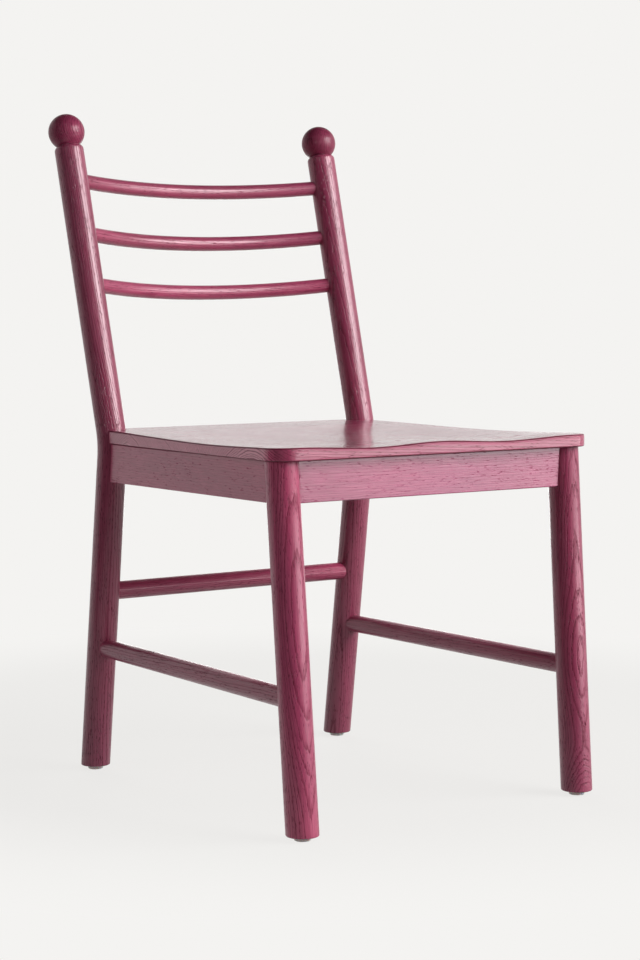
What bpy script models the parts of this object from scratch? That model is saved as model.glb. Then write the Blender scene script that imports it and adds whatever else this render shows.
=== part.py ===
"""A wooden dining chair: saddle seat, four round legs, and a back of three bowed rungs between bent posts
that end in turned balls.

Metres, +Z up. The chair faces -Y, and left and right are as seen from in front of it. The floor is z = 0.
Heights are above the floor. The lines below are laid out from the middle between the front and back feet,
and the last step moves the whole chair so that its box stands centred on the origin.
"""

import math

import bmesh
import bpy
from mathutils import Matrix, Vector

# Clearances
FIT = 0.0003  # between faces that are glued or rest on each other
SEAT_NOTCH_GAP = 0.0006  # between the seat's notches and the posts

# Seat height, and the space between the feet
SEAT_UNDERSIDE = 0.4332
FOOT_DEPTH = 0.4968  # from front foot to back foot, centre to centre, at the floor

# Front legs
LEG_DIAMETER = 0.0392
FRONT_FOOT_SPACING = 0.4164  # left to right at the floor
FRONT_TOP_SPACING = 0.4240  # left to right under the seat
FRONT_RAKE = 0.0337  # how far a leg's top lies behind its foot

# Back posts, bent at seat height
POST_DIAMETER = 0.0381
BACK_FOOT_SPACING = 0.3928
BEND_SPACING = 0.3970
BALL_SPACING = 0.4042
BEND_HEIGHT = 0.4337  # where the two straight stretches would meet
BACK_RAKE = 0.0591  # how far the bend lies ahead of the foot
BACK_LEAN = 0.1054  # how far the ball lies behind the bend
BEND_RADIUS = 0.10
BALL_HEIGHT = 0.8363  # centre of the ball
SHOULDER_LENGTH = 0.0058  # where a post's top end rounds in to the neck

# Leg and post ends
FOOT_ROUND = 0.0018
TOP_EASE = 0.0008

# Finials
BALL_RADIUS = 0.0237
BALL_FOOT_RADIUS = 0.0148  # where the ball meets its lip
LIP_WIDTH = 0.0004  # how far the lip stands out past the ball there
LIP_HEIGHT = 0.0007
NECK_RADIUS = 0.0140
SPIGOT_RADIUS = 0.0060
SPIGOT_LENGTH = 0.0180

# Aprons, tenoned into the legs and posts
APRON_HEIGHT = 0.0490
APRON_THICKNESS = 0.0204
APRON_EASE = 0.0012
TENON_THICKNESS = 0.0100
TENON_SHOULDER = 0.0080  # apron height left above and below a tenon
TENON_WALL = 0.0015  # wood between the two mortises of one leg
TENON_ROOT = 0.0060  # how far a tenon's block runs back into its apron

# Seat
SEAT_FRONT_OVERHANG = 0.0098  # past the front legs
SEAT_SIDE_OVERHANG = 0.0074
SEAT_REAR_EXTRA = 0.0115  # past the centre lines of the posts, left and right
SEAT_BACK_INSET = 0.0005  # ahead of the posts' back faces
SEAT_FRONT_THICKNESS = 0.0158
SEAT_BACK_THICKNESS = 0.0175
FRONT_CORNER_RADIUS = 0.0270
REAR_CORNER_RADIUS = 0.0040
SEAT_TOP_ROUND = 0.0032
SEAT_BOTTOM_ROUND = 0.0020
TONGUE_SETBACK = 0.0120  # from a post's centre line in to the end of the seat's back edge

# Saddle: how deep the top is hollowed
SIDE_DIP = 0.0035  # right across the seat
SIDE_DIP_PLACE = 0.38  # share of the depth from the front, and so for the next two
THIGH_DIP = 0.0037  # the two hollows that run out over the front edge
THIGH_DIP_PLACE = 0.12
THIGH_SPACING = 0.1960  # between the middles of the two hollows
THIGH_REACH = 0.1120  # from the middle of a hollow to its outer edge
DISH = 0.0020  # the hollow between the thighs, behind the raised front
DISH_PLACE = 0.50

# Stretchers, low between the legs, and the rungs of the back
STRETCHER_DIAMETER = 0.0236
STRETCHER_TENON_DIAMETER = 0.0160
SIDE_STRETCHER_FRONT_HEIGHT = 0.1598  # on the legs' centre lines
SIDE_STRETCHER_BACK_HEIGHT = 0.1644
BACK_STRETCHER_HEIGHT = 0.2387
RUNG_DIAMETER = 0.0196
RUNG_TENON_DIAMETER = 0.0130
TOP_RUNG_DROP = 0.0622  # from the balls' centres to where a rung meets the posts' centre lines
MIDDLE_RUNG_DROP = 0.1313
BOTTOM_RUNG_DROP = 0.1978
TOP_RUNG_BOW = 0.0388
MIDDLE_RUNG_BOW = 0.0462
BOTTOM_RUNG_BOW = 0.0464
ROUND_TENON_STOP = 0.0050  # from a leg's centre line to the end of a round tenon
SHOULDER_DEPTH = 0.0065  # from a leg's surface in to the shoulder of a round tenon
TENON_CHAMFER = 0.0010

# Corner blocks, screwed to the aprons, and the screws that hold the seat
BLOCK_HEIGHT = 0.0280
BLOCK_WIDTH = 0.0260  # across, from the face by the leg to the inner face
BLOCK_LEG_GAP = 0.0040
BLOCK_GRIP = 0.0100  # wood between a block screw's head and the apron
BLOCK_SCREW_INSET = 0.0140  # from a block's end to its screw
BLOCK_SCREW_BITE = 0.0130  # into the apron
SEAT_SCREW_RECESS = 0.0060
SEAT_SCREW_BITE = 0.0085  # into the seat
SCREW_HEAD_RADIUS = 0.0040
SCREW_HEAD_HEIGHT = 0.0024
SCREW_SHANK_RADIUS = 0.0020
SCREW_POINT = 0.0040
SCREW_SOCKET_RADIUS = 0.0018
SCREW_SOCKET_DEPTH = 0.0015

# Glides under the feet, each held by a nail
GLIDE_RADIUS = 0.0098
GLIDE_HEIGHT = 0.0050
GLIDE_ROUND = 0.0018
GLIDE_EASE = 0.0006
NAIL_HEAD_RADIUS = 0.0035
NAIL_HEAD_HEIGHT = 0.0012
NAIL_HEAD_LIFT = 0.0010  # from the floor to the head
NAIL_RADIUS = 0.0012
NAIL_LENGTH = 0.0210

# Fineness of the round shapes
LEG_SIDES = 28
ROD_SIDES = 20
GLIDE_SIDES = 16
SMALL_SIDES = 10
ARC_STEPS = 6
BOW_STEPS = 10
SMOOTH_ANGLE = math.radians(35)

# What follows from the sizes above
LEG_RADIUS = LEG_DIAMETER / 2
POST_RADIUS = POST_DIAMETER / 2
FOOT_HEIGHT = GLIDE_HEIGHT + FIT
FRAME_TOP = SEAT_UNDERSIDE - FIT
APRON_MIDDLE = FRAME_TOP - APRON_HEIGHT / 2
TENON_STOP = TENON_THICKNESS / 2 + FIT + TENON_WALL
NECK_DROP = math.sqrt(BALL_RADIUS**2 - BALL_FOOT_RADIUS**2) + LIP_HEIGHT
UP = Vector((0, 0, 1))
SIDES = {"left": -1, "right": 1}
CUTTER_REACH = 0.02  # how far a cutter runs out past what it cuts


def clear_scene():
    for obj in list(bpy.data.objects):
        bpy.data.objects.remove(obj)


def new_collection(name, hidden=False):
    collection = bpy.data.collections.new(name)
    collection.hide_render = hidden
    bpy.context.scene.collection.children.link(collection)
    return collection


def new_material(name, colour, roughness, metallic=0.0):
    material = bpy.data.materials.new(name)
    material.use_nodes = True
    shader = material.node_tree.nodes["Principled BSDF"]
    shader.inputs["Base Color"].default_value = (*colour, 1)
    shader.inputs["Roughness"].default_value = roughness
    shader.inputs["Metallic"].default_value = metallic
    return material


clear_scene()
CHAIR = new_collection("dining_chair")
CUTTERS = new_collection("cutters", hidden=True)
WOOD = new_material("plum stained wood", (0.235, 0.040, 0.085), 0.42)
SEAT_WOOD = new_material("plum stained seat wood", (0.250, 0.045, 0.092), 0.38)
BLOCK_WOOD = new_material("pale block wood", (0.560, 0.390, 0.230), 0.60)
STEEL = new_material("zinc plated steel", (0.600, 0.600, 0.580), 0.35, 1.0)
PLASTIC = new_material("pale glide plastic", (0.740, 0.740, 0.730), 0.45)


def add_part(name, mesh, material, matrix=None):
    """Puts a mesh in the chair as a sub-part."""
    obj = bpy.data.objects.new(name, mesh)
    obj.matrix_world = matrix or Matrix.Identity(4)
    CHAIR.objects.link(obj)
    if not mesh.materials:
        mesh.materials.append(material)
    mesh.shade_smooth()
    mesh.set_sharp_from_angle(angle=SMOOTH_ANGLE)
    return obj


def add_cutter(name, mesh, matrix=None):
    obj = bpy.data.objects.new(name, mesh)
    obj.matrix_world = matrix or Matrix.Identity(4)
    obj.display_type = "WIRE"
    obj.hide_render = True
    CUTTERS.objects.link(obj)
    return obj


def combine(target, other, operation="DIFFERENCE"):
    modifier = target.modifiers.new(other.name, "BOOLEAN")
    modifier.operation = operation
    modifier.object = other
    modifier.solver = "EXACT"


def evaluated_mesh(name, data, modify=None):
    """The mesh that a curve, or a mesh with a modifier, makes, with its loose caps and seams welded."""
    guide = bpy.data.objects.new(name, data)
    CUTTERS.objects.link(guide)
    if modify:
        modify(guide)
    graph = bpy.context.evaluated_depsgraph_get()
    mesh = bpy.data.meshes.new_from_object(guide.evaluated_get(graph))
    mesh.name = name
    bpy.data.objects.remove(guide)
    form = bmesh.new()
    form.from_mesh(mesh)
    bmesh.ops.remove_doubles(form, verts=form.verts, dist=1e-6)
    bmesh.ops.recalc_face_normals(form, faces=form.faces)
    form.to_mesh(mesh)
    form.free()
    return mesh


def rod_mesh(name, stations, sides, level_ends=()):
    """A round rod through stations of (point, radius).

    level_ends holds (tip, inward) pairs: near each tip the rings slide along the rod until they lie level,
    which turns the square end into a level one and keeps the rod round.
    """
    curve = bpy.data.curves.new(name, "CURVE")
    curve.dimensions = "3D"
    curve.bevel_depth = 1.0
    curve.bevel_resolution = (sides - 4) // 2
    curve.use_fill_caps = True
    spline = curve.splines.new("POLY")
    spline.points.add(len(stations) - 1)
    for place, (point, radius) in zip(spline.points, stations):
        place.co = (*point, 1)
        place.radius = radius
    mesh = evaluated_mesh(name, curve)
    for tip, inward in level_ends:
        for vertex in mesh.vertices:
            along = (vertex.co - tip).dot(inward)
            if along < 2 * FOOT_ROUND:
                level = tip.z + along * inward.z
                vertex.co += inward * ((level - vertex.co.z) / inward.z)
    return mesh


def turned_mesh(name, profile, sides, closed=False):
    """A profile of (radius, height) pairs, from the top down its outer side, turned about Z."""
    flat = bpy.data.meshes.new(name)
    count = len(profile)
    edges = [(i, (i + 1) % count) for i in range(count if closed else count - 1)]
    flat.from_pydata([(radius, 0, height) for radius, height in profile], edges, [])

    def turn(guide):
        screw = guide.modifiers.new("turn", "SCREW")
        screw.axis = "Z"
        screw.steps = sides
        screw.render_steps = sides
        screw.use_merge_vertices = True
        screw.merge_threshold = 1e-6

    return evaluated_mesh(name, flat, turn)


def box_mesh(name, low, high, bevel=0.0):
    """A box between two corners, with its edges eased where a bevel is given."""
    mesh = bpy.data.meshes.new(name)
    form = bmesh.new()
    size = Vector(high) - Vector(low)
    middle = (Vector(high) + Vector(low)) / 2
    place = Matrix.Translation(middle) @ Matrix.Diagonal((*size, 1))
    bmesh.ops.create_cube(form, size=1, matrix=place)
    if bevel:
        bmesh.ops.bevel(
            form, geom=form.edges[:], offset=bevel, segments=2, profile=0.5, affect="EDGES"
        )
    form.to_mesh(mesh)
    form.free()
    return mesh


def prism_mesh(name, corners, low, high):
    """A flat outline of (x, y) corners, filled, and as thick as from low to high."""
    curve = bpy.data.curves.new(name, "CURVE")
    curve.dimensions = "2D"
    curve.fill_mode = "BOTH"
    curve.extrude = (high - low) / 2
    spline = curve.splines.new("POLY")
    spline.points.add(len(corners) - 1)
    for place, (x, y) in zip(spline.points, corners):
        place.co = (x, y, 0, 1)
    spline.use_cyclic_u = True
    mesh = evaluated_mesh(name, curve)
    mesh.transform(Matrix.Translation((0, 0, (low + high) / 2)))
    return mesh


def rounded_end(tip, inward, radius, along, across, steps):
    """Stations from a rod's tip inward, where it rounds out to its full radius."""
    stations = []
    for step in range(steps + 1):
        turn = math.pi / 2 * step / steps
        point = tip + inward * along * (1 - math.cos(turn))
        stations.append((point, radius - across * (1 - math.sin(turn))))
    return stations


def at_height(line, height):
    """The point of a line of points at a height."""
    for low, high in zip(line, line[1:]):
        if height <= high.z or high is line[-1]:
            return low.lerp(high, (height - low.z) / (high.z - low.z))


def directed(point, direction):
    """The matrix that puts an object's origin on a point, with its Z along a direction."""
    return Matrix.Translation(point) @ direction.to_track_quat("Z", "Y").to_matrix().to_4x4()


# The centre lines that everything else is hung on


def leg_line(side):
    """A front leg's centre line, from the glide to the seat."""
    floor = Vector((side * FRONT_FOOT_SPACING / 2, -FOOT_DEPTH / 2, 0))
    top = Vector((side * FRONT_TOP_SPACING / 2, floor.y + FRONT_RAKE, SEAT_UNDERSIDE))
    line = [floor, top]
    return [at_height(line, FOOT_HEIGHT), at_height(line, FRAME_TOP)]


def post_line(side):
    """A back post's centre line: straight, round the bend, and straight up to the ball's centre."""
    floor = Vector((side * BACK_FOOT_SPACING / 2, FOOT_DEPTH / 2, 0))
    bend = Vector((side * BEND_SPACING / 2, floor.y - BACK_RAKE, BEND_HEIGHT))
    ball = Vector((side * BALL_SPACING / 2, bend.y + BACK_LEAN, BALL_HEIGHT))
    below = (bend - floor).normalized()
    above = (ball - bend).normalized()
    turn = below.angle(above)
    inward = (above - below * below.dot(above)).normalized()
    start = bend - below * BEND_RADIUS * math.tan(turn / 2)
    centre = start + inward * BEND_RADIUS
    line = [at_height([floor, bend], FOOT_HEIGHT)]
    for step in range(ARC_STEPS + 1):
        angle = turn * step / ARC_STEPS
        line.append(centre + (below * math.sin(angle) - inward * math.cos(angle)) * BEND_RADIUS)
    return [*line, ball]


LEG_LINES = {name: leg_line(side) for name, side in SIDES.items()}
POST_LINES = {name: post_line(side) for name, side in SIDES.items()}


def leg_cutter(name, line, radius, gap):
    """The space that a leg or post takes, with a gap round it."""
    down = (line[0] - line[1]).normalized()
    up = (line[-1] - line[-2]).normalized()
    ends = [line[0] + down * CUTTER_REACH, line[-1] + up * CUTTER_REACH]
    points = [ends[0], *line[1:-1], ends[1]]
    return add_cutter(name, rod_mesh(name, [(point, radius + gap) for point in points], LEG_SIDES))


# Legs, posts and finials


def make_front_leg(name, line):
    up = (line[1] - line[0]).normalized()
    foot = rounded_end(line[0], up, LEG_RADIUS, FOOT_ROUND, FOOT_ROUND, 3)
    top = rounded_end(line[1], -up, LEG_RADIUS, TOP_EASE, TOP_EASE, 1)
    ends = [(line[0], up), (line[1], -up)]
    return add_part(name, rod_mesh(name, foot + top[::-1], LEG_SIDES, ends), WOOD)


def make_back_post(name, line):
    up = (line[1] - line[0]).normalized()
    lean = (line[-1] - line[-2]).normalized()
    tip = line[-1] - lean * (NECK_DROP + FIT)
    foot = rounded_end(line[0], up, POST_RADIUS, FOOT_ROUND, FOOT_ROUND, 3)
    bend = [(point, POST_RADIUS) for point in line[1:-1]]
    shoulder = rounded_end(tip, -lean, POST_RADIUS, SHOULDER_LENGTH, POST_RADIUS - NECK_RADIUS, 4)
    stations = [*foot, *bend, *shoulder[::-1]]
    post = add_part(name, rod_mesh(name, stations, LEG_SIDES, [(line[0], up)]), WOOD)
    socket = [
        (SPIGOT_RADIUS + FIT, CUTTER_REACH),
        (SPIGOT_RADIUS + FIT, -SPIGOT_LENGTH - FIT),
    ]
    hole = turned_mesh(name + "_socket", [(0, CUTTER_REACH), *socket, (0, socket[1][1])], ROD_SIDES)
    combine(post, add_cutter(name + "_socket", hole, directed(tip, lean)))
    return post


def finial_profile():
    """A ball on a thin lip, with a spigot below. Height 0 is the ball's centre."""
    last = math.pi - math.asin(BALL_FOOT_RADIUS / BALL_RADIUS)
    steps = 14
    turns = [last * step / steps for step in range(steps + 1)]
    ball = [(BALL_RADIUS * math.sin(turn), BALL_RADIUS * math.cos(turn)) for turn in turns]
    lip_top = -NECK_DROP + LIP_HEIGHT
    lip_radius = BALL_FOOT_RADIUS + LIP_WIDTH
    spigot_end = -NECK_DROP - SPIGOT_LENGTH
    return [
        *ball,
        (lip_radius, lip_top - LIP_WIDTH / 2),
        (lip_radius, -NECK_DROP + LIP_WIDTH / 2),
        (NECK_RADIUS, -NECK_DROP),
        (SPIGOT_RADIUS, -NECK_DROP),
        (SPIGOT_RADIUS, spigot_end + TENON_CHAMFER),
        (SPIGOT_RADIUS - TENON_CHAMFER, spigot_end),
        (0, spigot_end),
    ]


def make_finial(name, line):
    lean = (line[-1] - line[-2]).normalized()
    mesh = turned_mesh(name, finial_profile(), ROD_SIDES)
    return add_part(name, mesh, WOOD, directed(line[-1], lean))


LEGS = {name: make_front_leg("front_leg_" + name, line) for name, line in LEG_LINES.items()}
POSTS = {name: make_back_post("back_post_" + name, line) for name, line in POST_LINES.items()}
for side_name, post in POST_LINES.items():
    make_finial("finial_" + side_name, post)


# Aprons


def rail_matrix(start, end):
    """A level frame with its origin at the start and its X towards the end."""
    along = (end - start).normalized()
    across = UP.cross(along)
    turn = Matrix((along, across, UP)).transposed().to_4x4()
    return Matrix.Translation(start) @ turn


def make_apron(name, start_leg, end_leg):
    """An apron between two (leg object, centre line, radius) supports.

    Its ends are hollowed to the round legs, and its tenons sit in mortises cut in them.
    """
    start = at_height(start_leg[1], APRON_MIDDLE)
    end = at_height(end_leg[1], APRON_MIDDLE)
    place = rail_matrix(start, end)
    length = (end - start).length
    half = Vector((0, APRON_THICKNESS / 2, APRON_HEIGHT / 2))
    low = Vector((TENON_STOP, 0, 0)) - half
    high = Vector((length - TENON_STOP, 0, 0)) + half
    apron = add_part(name, box_mesh(name, low, high, APRON_EASE), WOOD, place)
    for support, (leg, line, radius) in enumerate((start_leg, end_leg)):
        combine(apron, leg_cutter(f"{name}_hollow_{support}", line, radius, FIT))
    for support, (leg, line, radius) in enumerate((start_leg, end_leg)):
        tenon = Vector((0, TENON_THICKNESS / 2, APRON_HEIGHT / 2 - TENON_SHOULDER))
        reach = [TENON_STOP, radius + TENON_ROOT]
        room = [TENON_STOP - FIT, radius + CUTTER_REACH]
        grown = tenon + Vector((0, FIT, FIT))
        if support:
            reach = [length - reach[1], length - reach[0]]
            room = [length - room[1], length - room[0]]
        near, far = Vector((reach[0], 0, 0)), Vector((reach[1], 0, 0))
        block = box_mesh(f"{name}_tenon_{support}", near - tenon, far + tenon)
        combine(apron, add_cutter(block.name, block, place), "UNION")
        near, far = Vector((room[0], 0, 0)), Vector((room[1], 0, 0))
        mortise = box_mesh(f"{name}_mortise_{support}", near - grown, far + grown)
        combine(leg, add_cutter(mortise.name, mortise, place))
    return apron


SUPPORTS = {}
for side_name in SIDES:
    SUPPORTS["front", side_name] = (LEGS[side_name], LEG_LINES[side_name], LEG_RADIUS)
    SUPPORTS["back", side_name] = (POSTS[side_name], POST_LINES[side_name], POST_RADIUS)

APRONS = {
    "front": make_apron("front_apron", SUPPORTS["front", "left"], SUPPORTS["front", "right"]),
    "back": make_apron("back_apron", SUPPORTS["back", "left"], SUPPORTS["back", "right"]),
}
for side_name in SIDES:
    APRONS[side_name] = make_apron(
        "side_apron_" + side_name, SUPPORTS["front", side_name], SUPPORTS["back", side_name]
    )


# Stretchers and rungs: round rods with round tenons


def tenoned_stations(place, length, radius, tenon_radius, leg_radii, middle_steps, gap=0.0):
    """Stations of a rod whose centre line is place(distance), from one leg's centre line to the next.

    With a gap, the same rod is that much larger all over, and cuts the sockets.
    """
    stop = ROUND_TENON_STOP - gap
    ends = []
    for leg_radius in leg_radii:
        shoulder = leg_radius - SHOULDER_DEPTH - gap
        ends.append(
            [
                (stop, tenon_radius + gap - TENON_CHAMFER),
                (stop + TENON_CHAMFER, tenon_radius + gap),
                (shoulder, tenon_radius + gap),
                (shoulder + FIT, radius + gap),
            ]
        )
    first, last = ends[0][-1][0], length - ends[1][-1][0]
    middle = [first + (last - first) * step / middle_steps for step in range(1, middle_steps)]
    stations = ends[0] + [(distance, radius + gap) for distance in middle]
    stations += [(length - distance, width) for distance, width in ends[1][::-1]]
    return [(place(distance), width) for distance, width in stations]


def make_tenoned_rod(name, place, length, diameter, tenon_diameter, supports, middle_steps):
    leg_radii = [radius for leg, line, radius in supports]
    sizes = (length, diameter / 2, tenon_diameter / 2, leg_radii, middle_steps)
    rod = add_part(name, rod_mesh(name, tenoned_stations(place, *sizes), ROD_SIDES), WOOD)
    sockets = rod_mesh(name + "_sockets", tenoned_stations(place, *sizes, FIT), ROD_SIDES)
    cutter = add_cutter(name + "_sockets", sockets)
    for leg, line, radius in supports:
        combine(leg, cutter)
    return rod


def make_stretcher(name, start_height, end_height, supports):
    start = at_height(supports[0][1], start_height)
    end = at_height(supports[1][1], end_height)
    length = (end - start).length

    def place(distance):
        return start.lerp(end, distance / length)

    return make_tenoned_rod(
        name, place, length, STRETCHER_DIAMETER, STRETCHER_TENON_DIAMETER, supports, 1
    )


def make_rung(name, drop, bow, supports):
    """A rung that bows back from the posts along an arc, square to the lean of the back."""
    start, end = (at_height(line, line[-1].z - drop) for leg, line, radius in supports)
    line = supports[0][1]
    lean = (line[-1] - line[-2]).normalized()
    along = (end - start).normalized()
    backward = lean.cross(along).normalized()
    if backward.y < 0:
        backward = -backward
    half = (end - start).length / 2
    arc_radius = (half**2 + bow**2) / (2 * bow)
    half_turn = math.asin(half / arc_radius)
    middle = (start + end) / 2

    def place(distance):
        angle = distance / arc_radius - half_turn
        depth = arc_radius * math.cos(angle) - (arc_radius - bow)
        return middle + along * arc_radius * math.sin(angle) + backward * depth

    length = 2 * half_turn * arc_radius
    return make_tenoned_rod(
        name, place, length, RUNG_DIAMETER, RUNG_TENON_DIAMETER, supports, BOW_STEPS
    )


BACK_PAIR = [SUPPORTS["back", "left"], SUPPORTS["back", "right"]]
for side_name in SIDES:
    side_pair = [SUPPORTS["front", side_name], SUPPORTS["back", side_name]]
    heights = (SIDE_STRETCHER_FRONT_HEIGHT, SIDE_STRETCHER_BACK_HEIGHT)
    make_stretcher("side_stretcher_" + side_name, *heights, side_pair)
make_stretcher("back_stretcher", BACK_STRETCHER_HEIGHT, BACK_STRETCHER_HEIGHT, BACK_PAIR)
make_rung("top_rung", TOP_RUNG_DROP, TOP_RUNG_BOW, BACK_PAIR)
make_rung("middle_rung", MIDDLE_RUNG_DROP, MIDDLE_RUNG_BOW, BACK_PAIR)
make_rung("bottom_rung", BOTTOM_RUNG_DROP, BOTTOM_RUNG_BOW, BACK_PAIR)


# Seat

LEG_TOP = LEG_LINES["right"][-1]
POST_AT_SEAT = at_height(POST_LINES["right"], SEAT_UNDERSIDE + SEAT_BACK_THICKNESS / 2)
SEAT_FRONT = LEG_TOP.y - LEG_RADIUS - SEAT_FRONT_OVERHANG
SEAT_BACK = POST_AT_SEAT.y + POST_RADIUS - SEAT_BACK_INSET
SEAT_DEPTH = SEAT_BACK - SEAT_FRONT
SEAT_FRONT_HALF = LEG_TOP.x + LEG_RADIUS + SEAT_SIDE_OVERHANG
SEAT_TAPER = (POST_AT_SEAT.x + SEAT_REAR_EXTRA - SEAT_FRONT_HALF) / (POST_AT_SEAT.y - SEAT_FRONT)
SEAT_SIDE_SLOPE = math.hypot(1, SEAT_TAPER)


def swell(place, start, peak, end):
    """0 before the start and after the end, and 1 at the peak, with smooth slopes between."""
    share = (place - start) / (peak - start) if place < peak else (end - place) / (end - peak)
    share = min(max(share, 0), 1)
    return share * share * (3 - 2 * share)


def seat_thickness(x, y):
    back = (y - SEAT_FRONT) / SEAT_DEPTH
    flat = SEAT_FRONT_THICKNESS + (SEAT_BACK_THICKNESS - SEAT_FRONT_THICKNESS) * back
    thigh = THIGH_SPACING / 2
    side_dip = SIDE_DIP * swell(back, -0.05, SIDE_DIP_PLACE, 1.02)
    thigh_dip = THIGH_DIP * swell(abs(x), 0, thigh, thigh + THIGH_REACH)
    thigh_dip *= swell(back, -1, THIGH_DIP_PLACE, 0.95)
    dish = DISH * swell(abs(x), -thigh, 0, thigh) * swell(back, 0, DISH_PLACE, 1)
    return flat - side_dip - thigh_dip - dish


def seat_outline(inset):
    """The seat's plan, shrunk by an inset: (x, y) points from the front left corner, anticlockwise."""
    front, back = SEAT_FRONT + inset, SEAT_BACK - inset

    def half_width(y):
        return SEAT_FRONT_HALF + SEAT_TAPER * (y - SEAT_FRONT) - inset * SEAT_SIDE_SLOPE

    corners = [
        (Vector((-half_width(front), front)), FRONT_CORNER_RADIUS, 14),
        (Vector((half_width(front), front)), FRONT_CORNER_RADIUS, 12),
        (Vector((half_width(back), back)), REAR_CORNER_RADIUS, 8),
        (Vector((-half_width(back), back)), REAR_CORNER_RADIUS, 12),
    ]
    arcs = []
    for index, (corner, radius, steps) in enumerate(corners):
        coming = (corner - corners[index - 1][0]).normalized()
        going = (corners[(index + 1) % 4][0] - corner).normalized()
        radius = max(radius - inset, REAR_CORNER_RADIUS)
        turn = coming.angle(going)
        left = Vector((-coming.y, coming.x))
        centre = corner - coming * radius * math.tan(turn / 2) + left * radius
        angles = [turn * step / 5 for step in range(6)]
        arcs.append([centre + (coming * math.sin(a) - left * math.cos(a)) * radius for a in angles])
    points = []
    for index, (corner, radius, steps) in enumerate(corners):
        onward = arcs[(index + 1) % 4][0]
        points += arcs[index]
        points += [arcs[index][-1].lerp(onward, step / steps) for step in range(1, steps)]
    return points


def seat_rings():
    """Rings of the seat's skin, from the middle of its flat underside round the edge to its hollowed top."""
    quarter = [math.pi / 2 * step / 3 for step in range(4)]
    rings = []
    for turn in quarter:
        inset = SEAT_BOTTOM_ROUND * (1 - math.sin(turn))
        height = SEAT_BOTTOM_ROUND * (1 - math.cos(turn))
        rings.append([(x, y, SEAT_UNDERSIDE + height) for x, y in seat_outline(inset)])
    for turn in quarter:
        inset = SEAT_TOP_ROUND * (1 - math.cos(turn))
        drop = SEAT_TOP_ROUND * (1 - math.sin(turn))
        ring = seat_outline(inset)
        rings.append([(x, y, SEAT_UNDERSIDE + seat_thickness(x, y) - drop) for x, y in ring])
    hollow_rings = 8
    deepest = 0.8 * SEAT_DEPTH / 2
    for step in range(1, hollow_rings + 1):
        inset = SEAT_TOP_ROUND + (deepest - SEAT_TOP_ROUND) * (step / hollow_rings) ** 1.2
        ring = seat_outline(inset)
        rings.append([(x, y, SEAT_UNDERSIDE + seat_thickness(x, y)) for x, y in ring])
    return rings


def make_seat():
    form = bmesh.new()
    rings = [[form.verts.new(point) for point in ring] for ring in seat_rings()]
    for lower, upper in zip(rings, rings[1:]):
        for index in range(len(lower)):
            before = index - 1
            form.faces.new((lower[before], lower[index], upper[index], upper[before]))
    middle_y = (SEAT_FRONT + SEAT_BACK) / 2
    under = form.verts.new((0, middle_y, SEAT_UNDERSIDE))
    over = form.verts.new((0, middle_y, SEAT_UNDERSIDE + seat_thickness(0, middle_y)))
    for index in range(len(rings[0])):
        form.faces.new((under, rings[0][index], rings[0][index - 1]))
        form.faces.new((over, rings[-1][index - 1], rings[-1][index]))
    bmesh.ops.recalc_face_normals(form, faces=form.faces)
    mesh = bpy.data.meshes.new("seat")
    form.to_mesh(mesh)
    form.free()
    seat = add_part("seat", mesh, SEAT_WOOD)
    for name, side in SIDES.items():
        notch = leg_cutter(f"seat_notch_{name}", POST_LINES[name], POST_RADIUS, SEAT_NOTCH_GAP)
        combine(seat, notch)
        inner = side * (POST_AT_SEAT.x - TONGUE_SETBACK)
        outer = side * (SEAT_FRONT_HALF + CUTTER_REACH)
        corner = box_mesh(
            f"seat_corner_{name}",
            (min(inner, outer), POST_AT_SEAT.y, SEAT_UNDERSIDE - CUTTER_REACH),
            (max(inner, outer), SEAT_BACK + CUTTER_REACH, SEAT_UNDERSIDE + 2 * CUTTER_REACH),
        )
        combine(seat, add_cutter(corner.name, corner))
    return seat


SEAT = make_seat()


# Corner blocks and screws


def screw_mesh(name, length):
    """A round-headed screw with a drive socket. Height 0 is under its head, and it points down."""
    return turned_mesh(
        name,
        [
            (0, SCREW_HEAD_HEIGHT - SCREW_SOCKET_DEPTH),
            (SCREW_SOCKET_RADIUS, SCREW_HEAD_HEIGHT),
            (SCREW_HEAD_RADIUS * 0.7, SCREW_HEAD_HEIGHT),
            (SCREW_HEAD_RADIUS, SCREW_HEAD_HEIGHT / 2),
            (SCREW_HEAD_RADIUS, 0),
            (SCREW_SHANK_RADIUS, 0),
            (SCREW_SHANK_RADIUS, SCREW_POINT - length),
            (0, -length),
        ],
        SMALL_SIDES,
    )


def screw_hole_mesh(name, length):
    """The room that a screw takes: its shank's hole, and a wider one behind the underside of its head."""
    wide, narrow = SCREW_HEAD_RADIUS + FIT, SCREW_SHANK_RADIUS + FIT
    profile = [(0, CUTTER_REACH), (wide, CUTTER_REACH), (wide, -FIT), (narrow, -FIT)]
    return turned_mesh(name, [*profile, (narrow, -length - FIT), (0, -length - FIT)], SMALL_SIDES)


BLOCK_SCREW_LENGTH = BLOCK_GRIP + FIT + BLOCK_SCREW_BITE
SEAT_SCREW_LENGTH = BLOCK_HEIGHT - SEAT_SCREW_RECESS + FIT + SEAT_SCREW_BITE
BLOCK_SCREW = screw_mesh("block_screw", BLOCK_SCREW_LENGTH)
BLOCK_SCREW_HOLE = screw_hole_mesh("block_screw_hole", BLOCK_SCREW_LENGTH)
SEAT_SCREW = screw_mesh("seat_screw", SEAT_SCREW_LENGTH)
SEAT_SCREW_HOLE = screw_hole_mesh("seat_screw_hole", SEAT_SCREW_LENGTH)


def add_screw(name, mesh, hole, head_seat, direction, pieces):
    """Drives a screw from its head's seat in a direction, and cuts its hole in what it passes through."""
    place = directed(head_seat, -direction)
    add_part(name, mesh, STEEL, place)
    cutter = add_cutter(name + "_hole", hole, place)
    for piece in pieces:
        combine(piece, cutter)


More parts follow.
